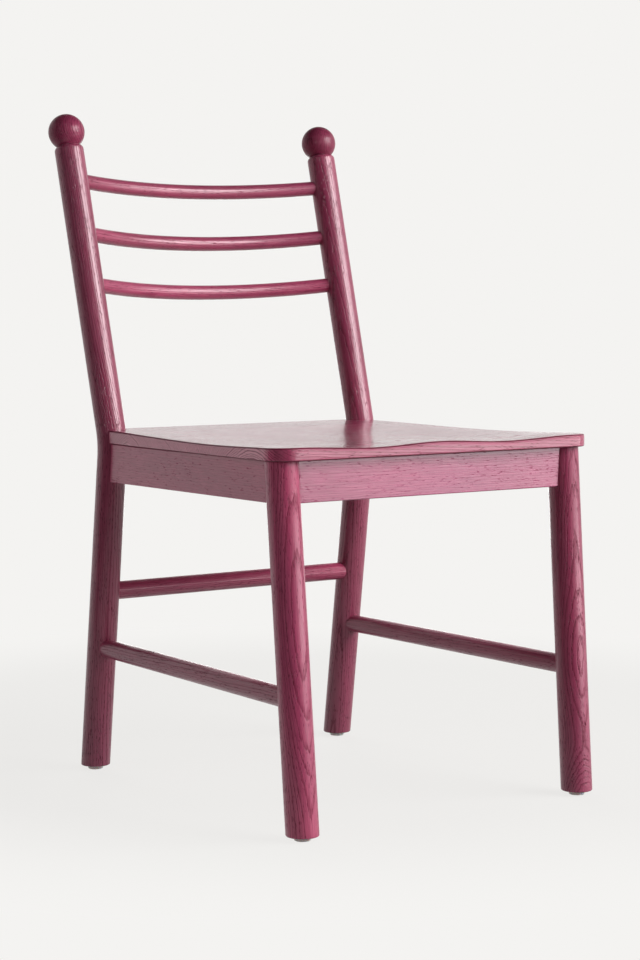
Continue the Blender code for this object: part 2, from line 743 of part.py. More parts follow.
def make_corner(row, side_name):
    """The corner block by one leg, with a screw into each apron and one up into the seat."""
    leg, line, radius = SUPPORTS[row, side_name]
    corner = at_height(line, APRON_MIDDLE)
    other_side = "right" if side_name == "left" else "left"
    other_row = "back" if row == "front" else "front"
    across = at_height(SUPPORTS[row, other_side][1], APRON_MIDDLE) - corner
    along = at_height(SUPPORTS[other_row, side_name][1], APRON_MIDDLE) - corner
    across.normalize()
    along.normalize()
    face = APRON_THICKNESS / 2 + FIT
    near = math.sqrt(2) * (radius + BLOCK_LEG_GAP) - face
    far = near + math.sqrt(2) * BLOCK_WIDTH

    def spot(a, b, height):
        point = corner + across * a + along * b
        return Vector((point.x, point.y, height))

    name = f"{row}_{side_name}"
    plan = [spot(face, far, 0), spot(face, near, 0), spot(near, face, 0), spot(far, face, 0)]
    bottom = FRAME_TOP - BLOCK_HEIGHT
    mesh = prism_mesh("corner_block_" + name, [point.xy for point in plan], bottom, FRAME_TOP)
    block = add_part(mesh.name, mesh, BLOCK_WOOD)
    middle = FRAME_TOP - BLOCK_HEIGHT / 2
    seat_of_head = face + BLOCK_GRIP
    inset = far - BLOCK_SCREW_INSET
    drives = [
        ("cross", spot(inset, seat_of_head, middle), -along, APRONS[row]),
        ("side", spot(seat_of_head, inset, middle), -across, APRONS[side_name]),
    ]
    for end, place, direction, apron in drives:
        label = f"block_screw_{name}_{end}"
        add_screw(label, BLOCK_SCREW, BLOCK_SCREW_HOLE, place, direction, [block, apron])
    centre = (near + far + 2 * face) / 4
    place = spot(centre, centre, bottom + SEAT_SCREW_RECESS)
    add_screw("seat_screw_" + name, SEAT_SCREW, SEAT_SCREW_HOLE, place, UP, [block, SEAT])


# Glides and their nails


def glide_profile():
    """A closed section: down the rounded outer side, in along the floor, and up round the nail's seat."""
    hole = NAIL_RADIUS + FIT
    pocket = NAIL_HEAD_RADIUS + FIT
    ceiling = NAIL_HEAD_LIFT + NAIL_HEAD_HEIGHT + FIT
    turns = [math.pi / 2 * step / 2 for step in range(3)]
    rounding = [
        (GLIDE_RADIUS - GLIDE_ROUND * (1 - math.cos(turn)), GLIDE_ROUND * (1 - math.sin(turn)))
        for turn in turns
    ]
    return [
        (GLIDE_RADIUS - GLIDE_EASE, GLIDE_HEIGHT),
        (GLIDE_RADIUS, GLIDE_HEIGHT - GLIDE_EASE),
        *rounding,
        (pocket, 0),
        (pocket, ceiling),
        (hole, ceiling),
        (hole, GLIDE_HEIGHT),
    ]


def nail_profile(gap=0.0):
    """A flat-headed nail, point up. Height 0 is the floor."""
    head_top = NAIL_HEAD_LIFT + NAIL_HEAD_HEIGHT
    tip = NAIL_HEAD_LIFT + NAIL_LENGTH + gap
    radius = NAIL_RADIUS + gap
    return [
        (0, tip),
        (radius, tip - 2 * NAIL_RADIUS),
        (radius, head_top),
        (NAIL_HEAD_RADIUS, head_top),
        (NAIL_HEAD_RADIUS, NAIL_HEAD_LIFT),
        (0, NAIL_HEAD_LIFT),
    ]


GLIDE = turned_mesh("glide", glide_profile(), GLIDE_SIDES, closed=True)
NAIL = turned_mesh("glide_nail", nail_profile(), SMALL_SIDES)
NAIL_HOLE = turned_mesh("nail_hole", nail_profile(FIT), SMALL_SIDES)


def make_glide(name, leg, line):
    place = Matrix.Translation((line[0].x, line[0].y, 0))
    add_part("glide_" + name, GLIDE, PLASTIC, place)
    add_part("glide_nail_" + name, NAIL, STEEL, place)
    combine(leg, add_cutter(f"nail_hole_{name}", NAIL_HOLE, place))


for (row_name, side_name), (support_leg, support_line, support_radius) in SUPPORTS.items():
    make_corner(row_name, side_name)
    make_glide(f"{row_name}_{side_name}", support_leg, support_line)


# The whole chair, centred over the origin


def centre_chair():
    """Hangs every sub-part on one empty, and moves that so that the chair's box is centred on the origin."""
    bpy.context.view_layer.update()
    graph = bpy.context.evaluated_depsgraph_get()
    depths = []
    for obj in CHAIR.objects:
        solid = obj.evaluated_get(graph)
        depths += [(solid.matrix_world @ Vector(corner)).y for corner in solid.bound_box]
    middle = bpy.data.objects.new("chair_middle", None)
    bpy.context.scene.collection.objects.link(middle)
    for obj in [*CHAIR.objects, *CUTTERS.objects]:
        obj.parent = middle
    middle.location.y = -(min(depths) + max(depths)) / 2
    print(f"moved {middle.location.y * 1000:.3f} mm in y to centre the chair")


centre_chair()
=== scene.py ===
"""A plum stained wooden dining chair, dressed for its portrait.

Metres, +Z up. The chair faces -Y and stands on z = 0. Left and right are as seen from in front of it.
"""

import math

import bmesh
import bpy
import numpy as np
from mathutils import Matrix, Vector


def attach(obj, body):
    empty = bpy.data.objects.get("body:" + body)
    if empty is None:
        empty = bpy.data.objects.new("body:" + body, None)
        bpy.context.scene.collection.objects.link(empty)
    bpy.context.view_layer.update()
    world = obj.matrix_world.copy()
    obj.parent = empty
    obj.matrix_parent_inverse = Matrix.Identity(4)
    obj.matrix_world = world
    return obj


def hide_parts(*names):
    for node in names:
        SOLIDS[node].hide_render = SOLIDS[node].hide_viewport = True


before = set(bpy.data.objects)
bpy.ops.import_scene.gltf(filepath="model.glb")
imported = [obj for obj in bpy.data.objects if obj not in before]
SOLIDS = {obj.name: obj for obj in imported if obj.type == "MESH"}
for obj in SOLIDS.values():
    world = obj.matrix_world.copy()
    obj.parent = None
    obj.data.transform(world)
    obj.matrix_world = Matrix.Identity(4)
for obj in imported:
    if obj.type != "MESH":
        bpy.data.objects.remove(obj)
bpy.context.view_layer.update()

# Sizes of the chair, as its solids have them
MIDDLE_Y = -0.029183  # from the middle between the feet to the middle of the chair's box
FIT = 0.0003
SEAT_NOTCH_GAP = 0.0006
SEAT_UNDERSIDE = 0.4332
FOOT_DEPTH = 0.4968
LEG_RADIUS = 0.0196
FRONT_FOOT_SPACING = 0.4164
FRONT_TOP_SPACING = 0.4240
FRONT_RAKE = 0.0337
POST_RADIUS = 0.01905
BACK_FOOT_SPACING = 0.3928
BEND_SPACING = 0.3970
BALL_SPACING = 0.4042
BEND_HEIGHT = 0.4337
BACK_RAKE = 0.0591
BACK_LEAN = 0.1054
BEND_RADIUS = 0.10
BALL_HEIGHT = 0.8363
SHOULDER_LENGTH = 0.0058
FOOT_ROUND = 0.0018
TOP_EASE = 0.0008
BALL_RADIUS = 0.0237
BALL_FOOT_RADIUS = 0.0148
LIP_WIDTH = 0.0004
LIP_HEIGHT = 0.0007
NECK_RADIUS = 0.0140
SEAT_FRONT_OVERHANG = 0.0098
SEAT_SIDE_OVERHANG = 0.0074
SEAT_REAR_EXTRA = 0.0115
SEAT_BACK_INSET = 0.0005
SEAT_FRONT_THICKNESS = 0.0158
SEAT_BACK_THICKNESS = 0.0175
FRONT_CORNER_RADIUS = 0.0270
REAR_CORNER_RADIUS = 0.0040
SEAT_TOP_ROUND = 0.0032
SEAT_BOTTOM_ROUND = 0.0020
TONGUE_SETBACK = 0.0120
SIDE_DIP = 0.0035
SIDE_DIP_PLACE = 0.38
THIGH_DIP = 0.0037
THIGH_DIP_PLACE = 0.12
THIGH_SPACING = 0.1960
THIGH_REACH = 0.1120
DISH = 0.0020
DISH_PLACE = 0.50
STRETCHER_RADIUS = 0.0118
SIDE_STRETCHER_FRONT_HEIGHT = 0.1598
SIDE_STRETCHER_BACK_HEIGHT = 0.1644
BACK_STRETCHER_HEIGHT = 0.2387
RUNG_RADIUS = 0.0098
# Height and bow
RUNGS = {"top": (0.7741, 0.0388), "middle": (0.7050, 0.0462), "bottom": (0.6385, 0.0464)}
SHOULDER_DEPTH = 0.0065
GLIDE_RADIUS = 0.0098
GLIDE_HEIGHT = 0.0050
GLIDE_ROUND = 0.0018
GLIDE_EASE = 0.0006
NAIL_HEAD_RADIUS = 0.0035
NAIL_HEAD_HEIGHT = 0.0012
NAIL_HEAD_LIFT = 0.0010
NAIL_RADIUS = 0.0012
NAIL_LENGTH = 0.0210

FOOT_HEIGHT = GLIDE_HEIGHT + FIT
FRAME_TOP = SEAT_UNDERSIDE - FIT
NECK_DROP = math.sqrt(BALL_RADIUS**2 - BALL_FOOT_RADIUS**2) + LIP_HEIGHT
SIDES = {"left": -1, "right": 1}

# Fineness
ROUND_SIDES = 96
SMALL_SIDES = 64
NAIL_SIDES = 32
ARC_STEPS = 24
RUNG_STEPS = 90
BALL_STEPS = 48
LIP_STEPS = 6
SHOULDER_STEPS = 12
CORNER_STEPS = 16
EASE_STEPS = 8
HOLLOW_RINGS = 44
QUARTER_TURN = [math.pi / 2 * step / EASE_STEPS for step in range(EASE_STEPS + 1)]
QUARTER = [(1 - math.sin(turn), 1 - math.cos(turn)) for turn in QUARTER_TURN]
SMOOTH_ANGLE = math.radians(40)


# Camera, first, so that every piece is judged in its frame

CAMERA_PLACE = Vector((-1.6664, -2.3770, 0.6103))
CAMERA_YAW = math.radians(-35.2785)
CAMERA_PITCH = math.radians(-4.365)
CAMERA_ROLL = math.radians(-0.2501)
SENSOR_WIDTH = 36
LENS = 85.24
SHIFT = (-0.00057, -0.00232)


def make_camera():
    backward = Vector(
        (
            math.sin(CAMERA_YAW) * math.cos(CAMERA_PITCH),
            -math.cos(CAMERA_YAW) * math.cos(CAMERA_PITCH),
            -math.sin(CAMERA_PITCH),
        )
    )
    level = Vector((math.cos(CAMERA_YAW), math.sin(CAMERA_YAW), 0))
    upright = backward.cross(level)
    right = level * math.cos(CAMERA_ROLL) + upright * math.sin(CAMERA_ROLL)
    up = upright * math.cos(CAMERA_ROLL) - level * math.sin(CAMERA_ROLL)
    data = bpy.data.cameras.new("camera")
    data.sensor_width = SENSOR_WIDTH
    data.lens = LENS
    data.shift_x, data.shift_y = SHIFT
    camera = bpy.data.objects.new("camera", data)
    turn = Matrix((right, up, backward)).transposed().to_4x4()
    camera.matrix_world = Matrix.Translation(CAMERA_PLACE) @ turn
    bpy.context.scene.collection.objects.link(camera)
    bpy.context.scene.camera = camera


make_camera()


# Finishes


class Nodes:
    """Adds nodes to a tree, each fed by the ones before it."""

    def __init__(self, tree):
        self.tree = tree

    def node(self, kind, values=(), **settings):
        node = self.tree.nodes.new(kind)
        for name, value in settings.items():
            setattr(node, name, value)
        for socket, value in dict(values).items():
            self.feed(node.inputs[socket], value)
        return node

    def feed(self, socket, value):
        if isinstance(value, bpy.types.NodeSocket):
            self.tree.links.new(value, socket)
        else:
            socket.default_value = value


class Recipe(Nodes):
    """The shader nodes of one new material or world."""

    def __init__(self, name, library=None, shader="Principled BSDF"):
        self.block = (bpy.data.materials if library is None else library).new(name)
        self.block.use_nodes = True
        super().__init__(self.block.node_tree)
        self.shader = self.tree.nodes[shader]

    def math(self, operation, *values, clamp=False):
        node = self.node("ShaderNodeMath", enumerate(values), operation=operation, use_clamp=clamp)
        return node.outputs[0]

    def times(self, first, second, plus=None):
        """One value times another, with a third added to it."""
        if plus is None:
            return self.math("MULTIPLY", first, second)
        return self.math("MULTIPLY_ADD", first, second, plus)

    def vector(self, operation, *values):
        node = self.node("ShaderNodeVectorMath", enumerate(values), operation=operation)
        return node.outputs["Value" if operation == "LENGTH" else "Vector"]

    def stretch(self, vector, scale):
        return self.vector("MULTIPLY", vector, scale)

    def noise(self, vector, detail=2.0, roughness=0.5, output="Fac"):
        values = {"Vector": vector, "Scale": 1.0, "Detail": detail, "Roughness": roughness}
        return self.node("ShaderNodeTexNoise", values).outputs[output]

    def span(self, value, low, high, to_low=0.0, to_high=1.0, smooth=True):
        """A value's place between low and high, mapped to another span and held inside it."""
        values = {"Value": value, "From Min": low, "From Max": high, "To Min": to_low, "To Max": to_high}
        kind = "SMOOTHSTEP" if smooth else "LINEAR"
        return self.node("ShaderNodeMapRange", values, interpolation_type=kind).outputs[0]

    def mix(self, share, first, second, how="MIX"):
        node = self.node("ShaderNodeMix", {0: share, 6: first, 7: second}, data_type="RGBA", blend_type=how)
        return node.outputs[2]

    def shaded(self, colour, tone):
        """The colour, made lighter or darker by a tone."""
        return self.mix(1.0, colour, self.joined(tone, tone, tone), "MULTIPLY")

    def attribute(self, name, output="Vector"):
        return self.node("ShaderNodeAttribute", attribute_name=name).outputs[output]

    def place(self):
        return self.node("ShaderNodeTexCoord").outputs["Object"]

    def parts(self, vector):
        return self.node("ShaderNodeSeparateXYZ", {0: vector}).outputs

    def joined(self, x, y, z):
        return self.node("ShaderNodeCombineXYZ", {0: x, 1: y, 2: z}).outputs[0]

    def finish(
        self, colour=None, roughness=None, height=None, depth=0.0, strength=1.0, film=0.0, **constants
    ):
        """Feeds the shader, with its constant values on its own sockets.

        depth is what a height of 1 stands for in metres, and film how far the coat follows the height.
        """
        if colour is not None:
            self.feed(self.shader.inputs["Base Color"], colour)
        if roughness is not None:
            self.feed(self.shader.inputs["Roughness"], roughness)
        if height is not None:
            for socket, share in (("Normal", 1.0), ("Coat Normal", film)):
                if share:
                    values = {"Height": height, "Distance": depth, "Strength": strength * share}
                    self.feed(self.shader.inputs[socket], self.node("ShaderNodeBump", values).outputs[0])
        for name, value in constants.items():
            self.shader.inputs[name.replace("_", " ")].default_value = value
        return self.block


def rgb(red, green, blue):
    """A colour as it is seen on a screen, 0 to 255, as Blender's linear colour."""
    shares = [value / 255 for value in (red, green, blue)]
    return (*[s / 12.92 if s <= 0.04045 else ((s + 0.055) / 1.055) ** 2.4 for s in shares], 1)


def stain(*hues):
    """A stain's ground, pale and deep wood, its pores, and a cast that comes and goes."""
    return dict(zip(("ground", "pale", "deep", "pore", "cast"), (rgb(*hue) for hue in hues)))


PLUM = stain((147, 53, 83), (170, 70, 102), (104, 22, 48), (88, 16, 40), (144, 52, 90))
COOL_PLUM = stain((148, 54, 91), (172, 73, 111), (100, 24, 52), (92, 22, 50), (140, 51, 97))
BALL_PLUM = stain((132, 44, 72), (152, 58, 88), (88, 17, 40), (70, 12, 32), (128, 44, 84))
BARE = stain((196, 158, 112), (214, 182, 138), (164, 122, 80), (120, 82, 50), (188, 150, 110))


def toned(hues, tone):
    """The same stain, lighter or darker. For the aprons this is painted light; for the seat's end grain it
    is the pale late wood.
    """
    return {name: (*[share * tone for share in hue[:3]], 1) for name, hue in hues.items()}


# Wood's features in each metre: twice across the grain, then along it
DRIFT_RATE = (8.0, 8.0, 2.6)
RIPPLE_RATE = (130, 130, 9)
FRAY_RATE = (520, 520, 34)
PORE_RATE = (1150, 1150, 150)
FLOCK_RATE = (70, 70, 16)
FIBRE_RATE = (1300, 1300, 36)
CLOUD_RATE = (26, 26, 7)
CAST_RATE = (9, 9, 4.2)
PACE_RATE = 95.0  # of the changes in the width of the years, from the pith outward
PACE_YEARS = 2.4
RIPPLE_DEPTH = 0.0024
FRAY_DEPTH = 0.0011
EARLY_SHARE = 0.36  # of each year
EARLY_START = 0.95
PORE_RIM, PORE_CORE = 0.46, 0.26


def wood(
    recipe, grain, hues, year_width=0.0026, wander=0.0035, year_depth=0.56, pore_depth=0.75,
    open_wood=0.60, scatter=0.17, ragged=1.0, early_openness=0.42,
):
    """An open-pored, ring-porous wood.

    grain is the place in the board in metres: x and y from the tree's pith, z along the fibres.
    wander and ragged are how far the years stray, in the large and in the small. year_depth and pore_depth
    are how dark early wood and pores are, scatter is the share of pores, and open_wood what early wood adds.
    Returns the colour, how open the surface is, and its height.
    """
    drift = recipe.noise(recipe.stretch(grain, DRIFT_RATE), 1.5, 0.45, "Color")
    drift = recipe.vector("SUBTRACT", drift, (0.5, 0.5, 0.5))
    bent = recipe.vector("ADD", grain, recipe.stretch(drift, (wander * 2, wander * 2, 0)))
    ripple = recipe.noise(recipe.stretch(grain, RIPPLE_RATE), 2.0, 0.55)
    fray = recipe.noise(recipe.stretch(grain, FRAY_RATE), 2.0, 0.65)
    radius = recipe.vector("LENGTH", recipe.stretch(bent, (1, 1, 0)))
    radius = recipe.times(ripple, RIPPLE_DEPTH * ragged, radius)
    radius = recipe.times(fray, FRAY_DEPTH * ragged, radius)
    pace = recipe.noise(recipe.joined(recipe.times(radius, PACE_RATE), 0.0, 0.0), 1.0)
    years = recipe.times(pace, PACE_YEARS, recipe.math("DIVIDE", radius, year_width))
    phase = recipe.math("FRACT", years)
    early = recipe.span(phase, 0.0, EARLY_SHARE, 1.0, 0.0)
    early = recipe.math("MAXIMUM", early, recipe.span(phase, EARLY_START, 1.0, 0.0, 1.0))

    cells = recipe.node(
        "ShaderNodeTexVoronoi",
        {"Vector": recipe.stretch(bent, PORE_RATE), "Scale": 1.0, "Randomness": 0.95},
        voronoi_dimensions="3D",
    )
    core = recipe.span(cells.outputs["Distance"], PORE_RIM, PORE_CORE)
    chance = recipe.parts(cells.outputs["Color"])[0]
    flocks = recipe.noise(recipe.stretch(grain, FLOCK_RATE), 1.0, 0.5)
    open_share = recipe.times(early, open_wood, scatter)
    open_share = recipe.times(open_share, recipe.span(flocks, 0.36, 0.64, 0.35, 1.45))
    pores = recipe.times(core, recipe.math("LESS_THAN", chance, open_share))

    fibres = recipe.noise(recipe.stretch(grain, FIBRE_RATE), 3.0, 0.6)
    clouds = recipe.noise(recipe.stretch(grain, CLOUD_RATE), 2.0, 0.5)
    cast = recipe.noise(recipe.stretch(grain, CAST_RATE), 1.0, 0.5)
    ground = recipe.mix(recipe.span(cast, 0.42, 0.66, 0.0, 0.45), hues["ground"], hues["cast"])
    colour = recipe.mix(recipe.span(fibres, 0.3, 0.7), ground, hues["pale"])
    colour = recipe.mix(recipe.times(early, year_depth), colour, hues["deep"])
    colour = recipe.mix(recipe.times(pores, pore_depth), colour, hues["pore"])
    colour = recipe.shaded(colour, recipe.span(clouds, 0.25, 0.75, 0.88, 1.08))
    height = recipe.times(early, -0.55, recipe.times(fibres, 0.2))
    height = recipe.times(pores, -1.0, height)
    openness = recipe.math("MAXIMUM", pores, recipe.times(early, early_openness))
    return colour, openness, height


LACQUER = {"Coat_Roughness": 0.17, "Coat_IOR": 1.5, "Sheen_Weight": 0.0}
GRAIN_DEPTH = 0.00028
SCUFF_ROUGHNESS = 0.10
OPEN_ROUGHNESS = 0.20  # more than lacquered wood has
OPEN_SHINE_LOSS = 0.85
OPEN_COAT_LOSS = 0.95


def lacquered(
    recipe, colour, openness, height, base=0.36, film=0.6, relief=0.9, shine=0.42, coat=0.34, **constants
):
    """Satin lacquer over wood. It is thin and dull where the wood is open.

    base is its roughness, relief how far it follows the wood, film how far its own surface does,
    and shine and coat how much the two of them mirror.
    """
    scuffs = recipe.noise(recipe.stretch(recipe.place(), (90, 90, 90)), 3.0, 0.6)
    roughness = recipe.times(scuffs, SCUFF_ROUGHNESS, base - SCUFF_ROUGHNESS / 2)
    roughness = recipe.times(openness, OPEN_ROUGHNESS, roughness)
    level = recipe.times(openness, -OPEN_SHINE_LOSS * shine, shine)
    recipe.feed(recipe.shader.inputs["Specular IOR Level"], level)
    weight = recipe.times(openness, -OPEN_COAT_LOSS * coat, coat)
    recipe.feed(recipe.shader.inputs["Coat Weight"], weight)
    return recipe.finish(colour, roughness, height, GRAIN_DEPTH, relief, film, **{**LACQUER, **constants})


def turned_wood(name, hues, gloss=None, **look):
    """For round pieces, whose mesh carries its own place in the board."""
    recipe = Recipe(name)
    colour, openness, height = wood(recipe, recipe.attribute("grain"), hues, **look)
    # Painted light and shade: the stored tone makes each piece lighter or darker
    colour = recipe.shaded(colour, recipe.attribute("tone", "Fac"))
    return lacquered(recipe, colour, openness, height, **(gloss or {}))


def board_wood(name, turn, pith, hues, lacquer=True, **look):
    """For boards, whose fibres lie one way. turn and pith say how the chair lies in the board's tree."""
    recipe = Recipe(name)
    values = {"Vector": recipe.place(), "Location": pith, "Rotation": turn}
    grain = recipe.node("ShaderNodeMapping", values).outputs[0]
    colour, openness, height = wood(recipe, grain, hues, **look)
    if lacquer:
        return lacquered(recipe, colour, openness, height, film=0.5, relief=0.35, shine=0.5, coat=0.5)
    return recipe.finish(colour, 0.7, height, depth=0.0003)


STAVE_WIDTH = 0.094
STAVES_FROM = -0.28
STAVE_SLOPE = 0.035
STAVE_TILT = 0.03
PITH_ASIDE = (-0.4, 1.4)  # in widths of a stave
PITH_BELOW = (0.050, 0.095)
STAVE_TONES = (1.00, 1.16)


def seat_wood():
    """The seat is glued up from staves that run from side to side, each with its own figure."""
    recipe = Recipe("plum stained seat wood")
    x, y, z = recipe.parts(recipe.place())
    lane = recipe.math("DIVIDE", recipe.math("SUBTRACT", y, STAVES_FROM), STAVE_WIDTH)
    index = recipe.math("FLOOR", lane)
    luck = recipe.node("ShaderNodeTexWhiteNoise", {"W": index}, noise_dimensions="1D").outputs["Color"]
    luck_a, luck_b, luck_c = recipe.parts(luck)
    across = recipe.math("SUBTRACT", recipe.math("FRACT", lane), recipe.span(luck_a, 0, 1, *PITH_ASIDE))
    across = recipe.times(across, STAVE_WIDTH)
    slope = recipe.span(luck_b, 0, 1, -STAVE_SLOPE, STAVE_SLOPE, smooth=False)
    across = recipe.times(x, slope, across)
    below = recipe.span(luck_b, 0, 1, *PITH_BELOW, smooth=False)
    rise = recipe.math("ADD", recipe.math("SUBTRACT", z, SEAT_UNDERSIDE), below)
    rise = recipe.times(x, STAVE_TILT, rise)
    along = recipe.times(luck_c, 3.0, x)
    grain = recipe.joined(across, rise, along)
    facing = recipe.parts(recipe.node("ShaderNodeNewGeometry").outputs["Normal"])
    end_grain = recipe.span(recipe.math("ABSOLUTE", facing[0]), 0.75, 0.93)
    long_edge = recipe.span(recipe.math("ABSOLUTE", facing[1]), 0.60, 0.90)
    colour, openness, height = wood(recipe, grain, PLUM, year_width=0.0030, scatter=0.12, early_openness=0.5)
    # The ends of the fibres drink the lacquer, and the long edges are duller but more even than the top
    thirst = recipe.span(end_grain, 0.0, 1.0, 1.0, 2.1, smooth=False)
    openness = recipe.math("MULTIPLY", openness, thirst, clamp=True)
    calm = recipe.span(long_edge, 0.0, 1.0, 1.0, 0.6, smooth=False)
    openness = recipe.times(openness, calm)
    openness = recipe.math("MAXIMUM", openness, recipe.times(long_edge, 0.3))
    height = recipe.times(height, calm)
    late = recipe.span(openness, 0.0, 0.34, 0.9, 0.0)
    colour = recipe.mix(recipe.times(end_grain, late), colour, toned(PLUM, 1.5)["pale"])
    # Painted shade: the marked rings round the seat's edge take pore colour and lose their gloss
    arris = recipe.attribute("arris", "Fac")
    openness = recipe.math("MAXIMUM", openness, recipe.times(arris, 0.9))
    colour = recipe.mix(recipe.times(arris, 0.8), colour, PLUM["pore"])
    edge = recipe.math("PINGPONG", recipe.math("FRACT", lane), 0.5)
    seam = recipe.span(edge, 0.0, 0.004, 0.35, 0.0)
    colour = recipe.mix(seam, colour, PLUM["deep"])
    colour = recipe.shaded(colour, recipe.span(luck_c, 0, 1, *STAVE_TONES, smooth=False))
    gloss = {"base": 0.34, "film": 0.55, "shine": 0.55, "coat": 1.0, "Coat_Roughness": 0.15}
    return lacquered(recipe, colour, openness, height, **gloss)


def zinc_steel():
    recipe = Recipe("zinc plated steel")
    brushed = recipe.noise(recipe.stretch(recipe.place(), (900, 900, 900)), 3.0, 0.6)
    patches = recipe.noise(recipe.stretch(recipe.place(), (160, 160, 160)), 2.0, 0.5)
    colour = recipe.mix(patches, rgb(176, 178, 174), rgb(212, 212, 204))
    roughness = recipe.span(brushed, 0.3, 0.7, 0.26, 0.46)
    return recipe.finish(colour, roughness, brushed, depth=0.00005, strength=0.4, Metallic=1.0)


def glide_plastic():
    recipe = Recipe("pale glide plastic")
    scuffs = recipe.noise(recipe.stretch(recipe.place(), (700, 700, 700)), 3.0, 0.65)
    patches = recipe.noise(recipe.stretch(recipe.place(), (120, 120, 60)), 2.0, 0.5)
    colour = recipe.mix(patches, rgb(222, 216, 212), rgb(238, 234, 230))
    roughness = recipe.span(scuffs, 0.35, 0.75, 0.28, 0.55)
    soft = {"Subsurface_Weight": 0.35, "Subsurface_Scale": 0.003}
    return recipe.finish(colour, roughness, scuffs, depth=0.00004, strength=0.5, **soft)


TURNED_WOOD = turned_wood("plum stained wood", PLUM)
RUNG_WOOD = turned_wood("plum stained rung wood", PLUM, year_depth=0.30, pore_depth=0.5, open_wood=0.5)
BALL_WOOD = turned_wood(
    "plum stained ball wood",
    BALL_PLUM,
    {"base": 0.36, "shine": 0.20, "coat": 0.14, "Coat_Roughness": 0.11},
    year_width=0.0021,
    wander=0.0015,
    ragged=0.35,
)
SEAT_WOOD = seat_wood()
ZINC = zinc_steel()
PLASTIC = glide_plastic()
ALONG_X = (0, math.radians(-90), 0)
ALONG_Y = (math.radians(90), 0, 0)


# Making pieces


def add_object(name, mesh):
    obj = bpy.data.objects.new(name, mesh)
    bpy.context.scene.collection.objects.link(obj)
    return obj


def made_mesh(name, form):
    mesh = bpy.data.meshes.new(name)
    form.to_mesh(mesh)
    form.free()
    return mesh


def plain_mesh(obj):
    """Turns what an object's modifiers make into its own mesh, and drops them."""
    graph = bpy.context.evaluated_depsgraph_get()
    mesh = bpy.data.meshes.new_from_object(
        obj.evaluated_get(graph), preserve_all_data_layers=True, depsgraph=graph
    )
    obj.modifiers.clear()
    obj.data = mesh
    mesh.name = obj.name
    return mesh


def tidy_mesh(mesh, weld=1e-6):
    """Joins points that coincide, turns the faces outward and keeps only real edges sharp."""
    form = bmesh.new()
    form.from_mesh(mesh)
    bmesh.ops.remove_doubles(form, verts=form.verts, dist=weld)
    bmesh.ops.recalc_face_normals(form, faces=form.faces)
    form.to_mesh(mesh)
    form.free()
    mesh.shade_smooth()
    mesh.set_sharp_from_angle(angle=SMOOTH_ANGLE)


def dress(obj, material, nodes):
    """Gives a piece its finish and says which solids it stands for."""
    obj.data.materials.clear()
    obj.data.materials.append(material)
    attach(obj, "root")
    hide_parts(*nodes)


class Shaping(Nodes):
    """A new geometry tree with named inputs: (name, socket kind) pairs."""

    def __init__(self, name, *inputs):
        super().__init__(bpy.data.node_groups.new(name, "GeometryNodeTree"))
        ports = self.tree.interface
        self.sockets = {
            label: ports.new_socket(label, in_out="INPUT", socket_type="NodeSocket" + kind)
            for label, kind in inputs
        }
        ports.new_socket("Geometry", in_out="OUTPUT", socket_type="NodeSocketGeometry")
        self.source = self.tree.nodes.new("NodeGroupInput").outputs

    def step(self, kind, values, output=0, **settings):
        return self.node("GeometryNode" + kind, values, **settings).outputs[output]

    def end(self, shape):
        """Every tree ends in real geometry with its material set."""
        real = self.step("RealizeInstances", {"Geometry": shape})
        done = self.step("SetMaterial", {"Geometry": real, "Material": self.source["Finish"]})
        self.feed(self.tree.nodes.new("NodeGroupOutput").inputs[0], done)

    def shape(self, obj, **values):
        """Turns an object into what the tree makes of it, as a plain mesh."""
        modifier = obj.modifiers.new(self.tree.name, "NODES")
        modifier.node_group = self.tree
        for label, value in values.items():
            modifier[self.sockets[label].identifier] = value
        return plain_mesh(obj)


def rod_tree():
    """A round rod: a line of points, each with its thickness, swept with a circle."""
    tree = Shaping("rod", ("Line", "Geometry"), ("Sides", "Int"), ("Finish", "Material"))
    curve = tree.step("MeshToCurve", {"Mesh": tree.source["Line"]})
    width = tree.step("InputNamedAttribute", {"Name": "thickness"}, data_type="FLOAT")
    ring = {"Resolution": tree.source["Sides"], "Radius": 1.0}
    circle = tree.step("CurvePrimitiveCircle", ring, mode="RADIUS")
    sweep = {"Curve": curve, "Profile Curve": circle, "Scale": width, "Fill Caps": True}
    tree.end(tree.step("CurveToMesh", sweep))
    return tree


ROD_TREE = rod_tree()


def rod_object(name, stations, sides=ROUND_SIDES, level_ends=()):
    """A rod through stations of (point, radius). Near a level end its rings slide until they lie level."""
    mesh = bpy.data.meshes.new(name)
    count = len(stations)
    mesh.from_pydata([point for point, radius in stations], [(i, i + 1) for i in range(count - 1)], [])
    thickness = mesh.attributes.new("thickness", "FLOAT", "POINT")
    thickness.data.foreach_set("value", [radius for point, radius in stations])
    rod = add_object(name, mesh)
    mesh = ROD_TREE.shape(rod, Sides=sides, Finish=TURNED_WOOD)
    mesh.attributes.remove(mesh.attributes["thickness"])
    for tip, inward in level_ends:
        for vertex in mesh.vertices:
            along = (vertex.co - tip).dot(inward)
            if along < 2 * FOOT_ROUND:
                level = tip.z + along * inward.z
                vertex.co += inward * ((level - vertex.co.z) / inward.z)
    tidy_mesh(mesh)
    return rod


def swing(along, bends):
    """How far a board's rings have swung out at each place, eased between its (place, distance) bends."""
    places, reach = np.array(bends).T
    spot = np.clip(np.searchsorted(places, along) - 1, 0, len(places) - 2)
    share = np.clip((along - places[spot]) / (places[spot + 1] - places[spot]), 0, 1)
    eased = share * share * (3 - 2 * share)
    return reach[spot] + (reach[spot + 1] - reach[spot]) * eased


STRAIGHT = [(0.0, 0.0), (1.0, 0.0)]


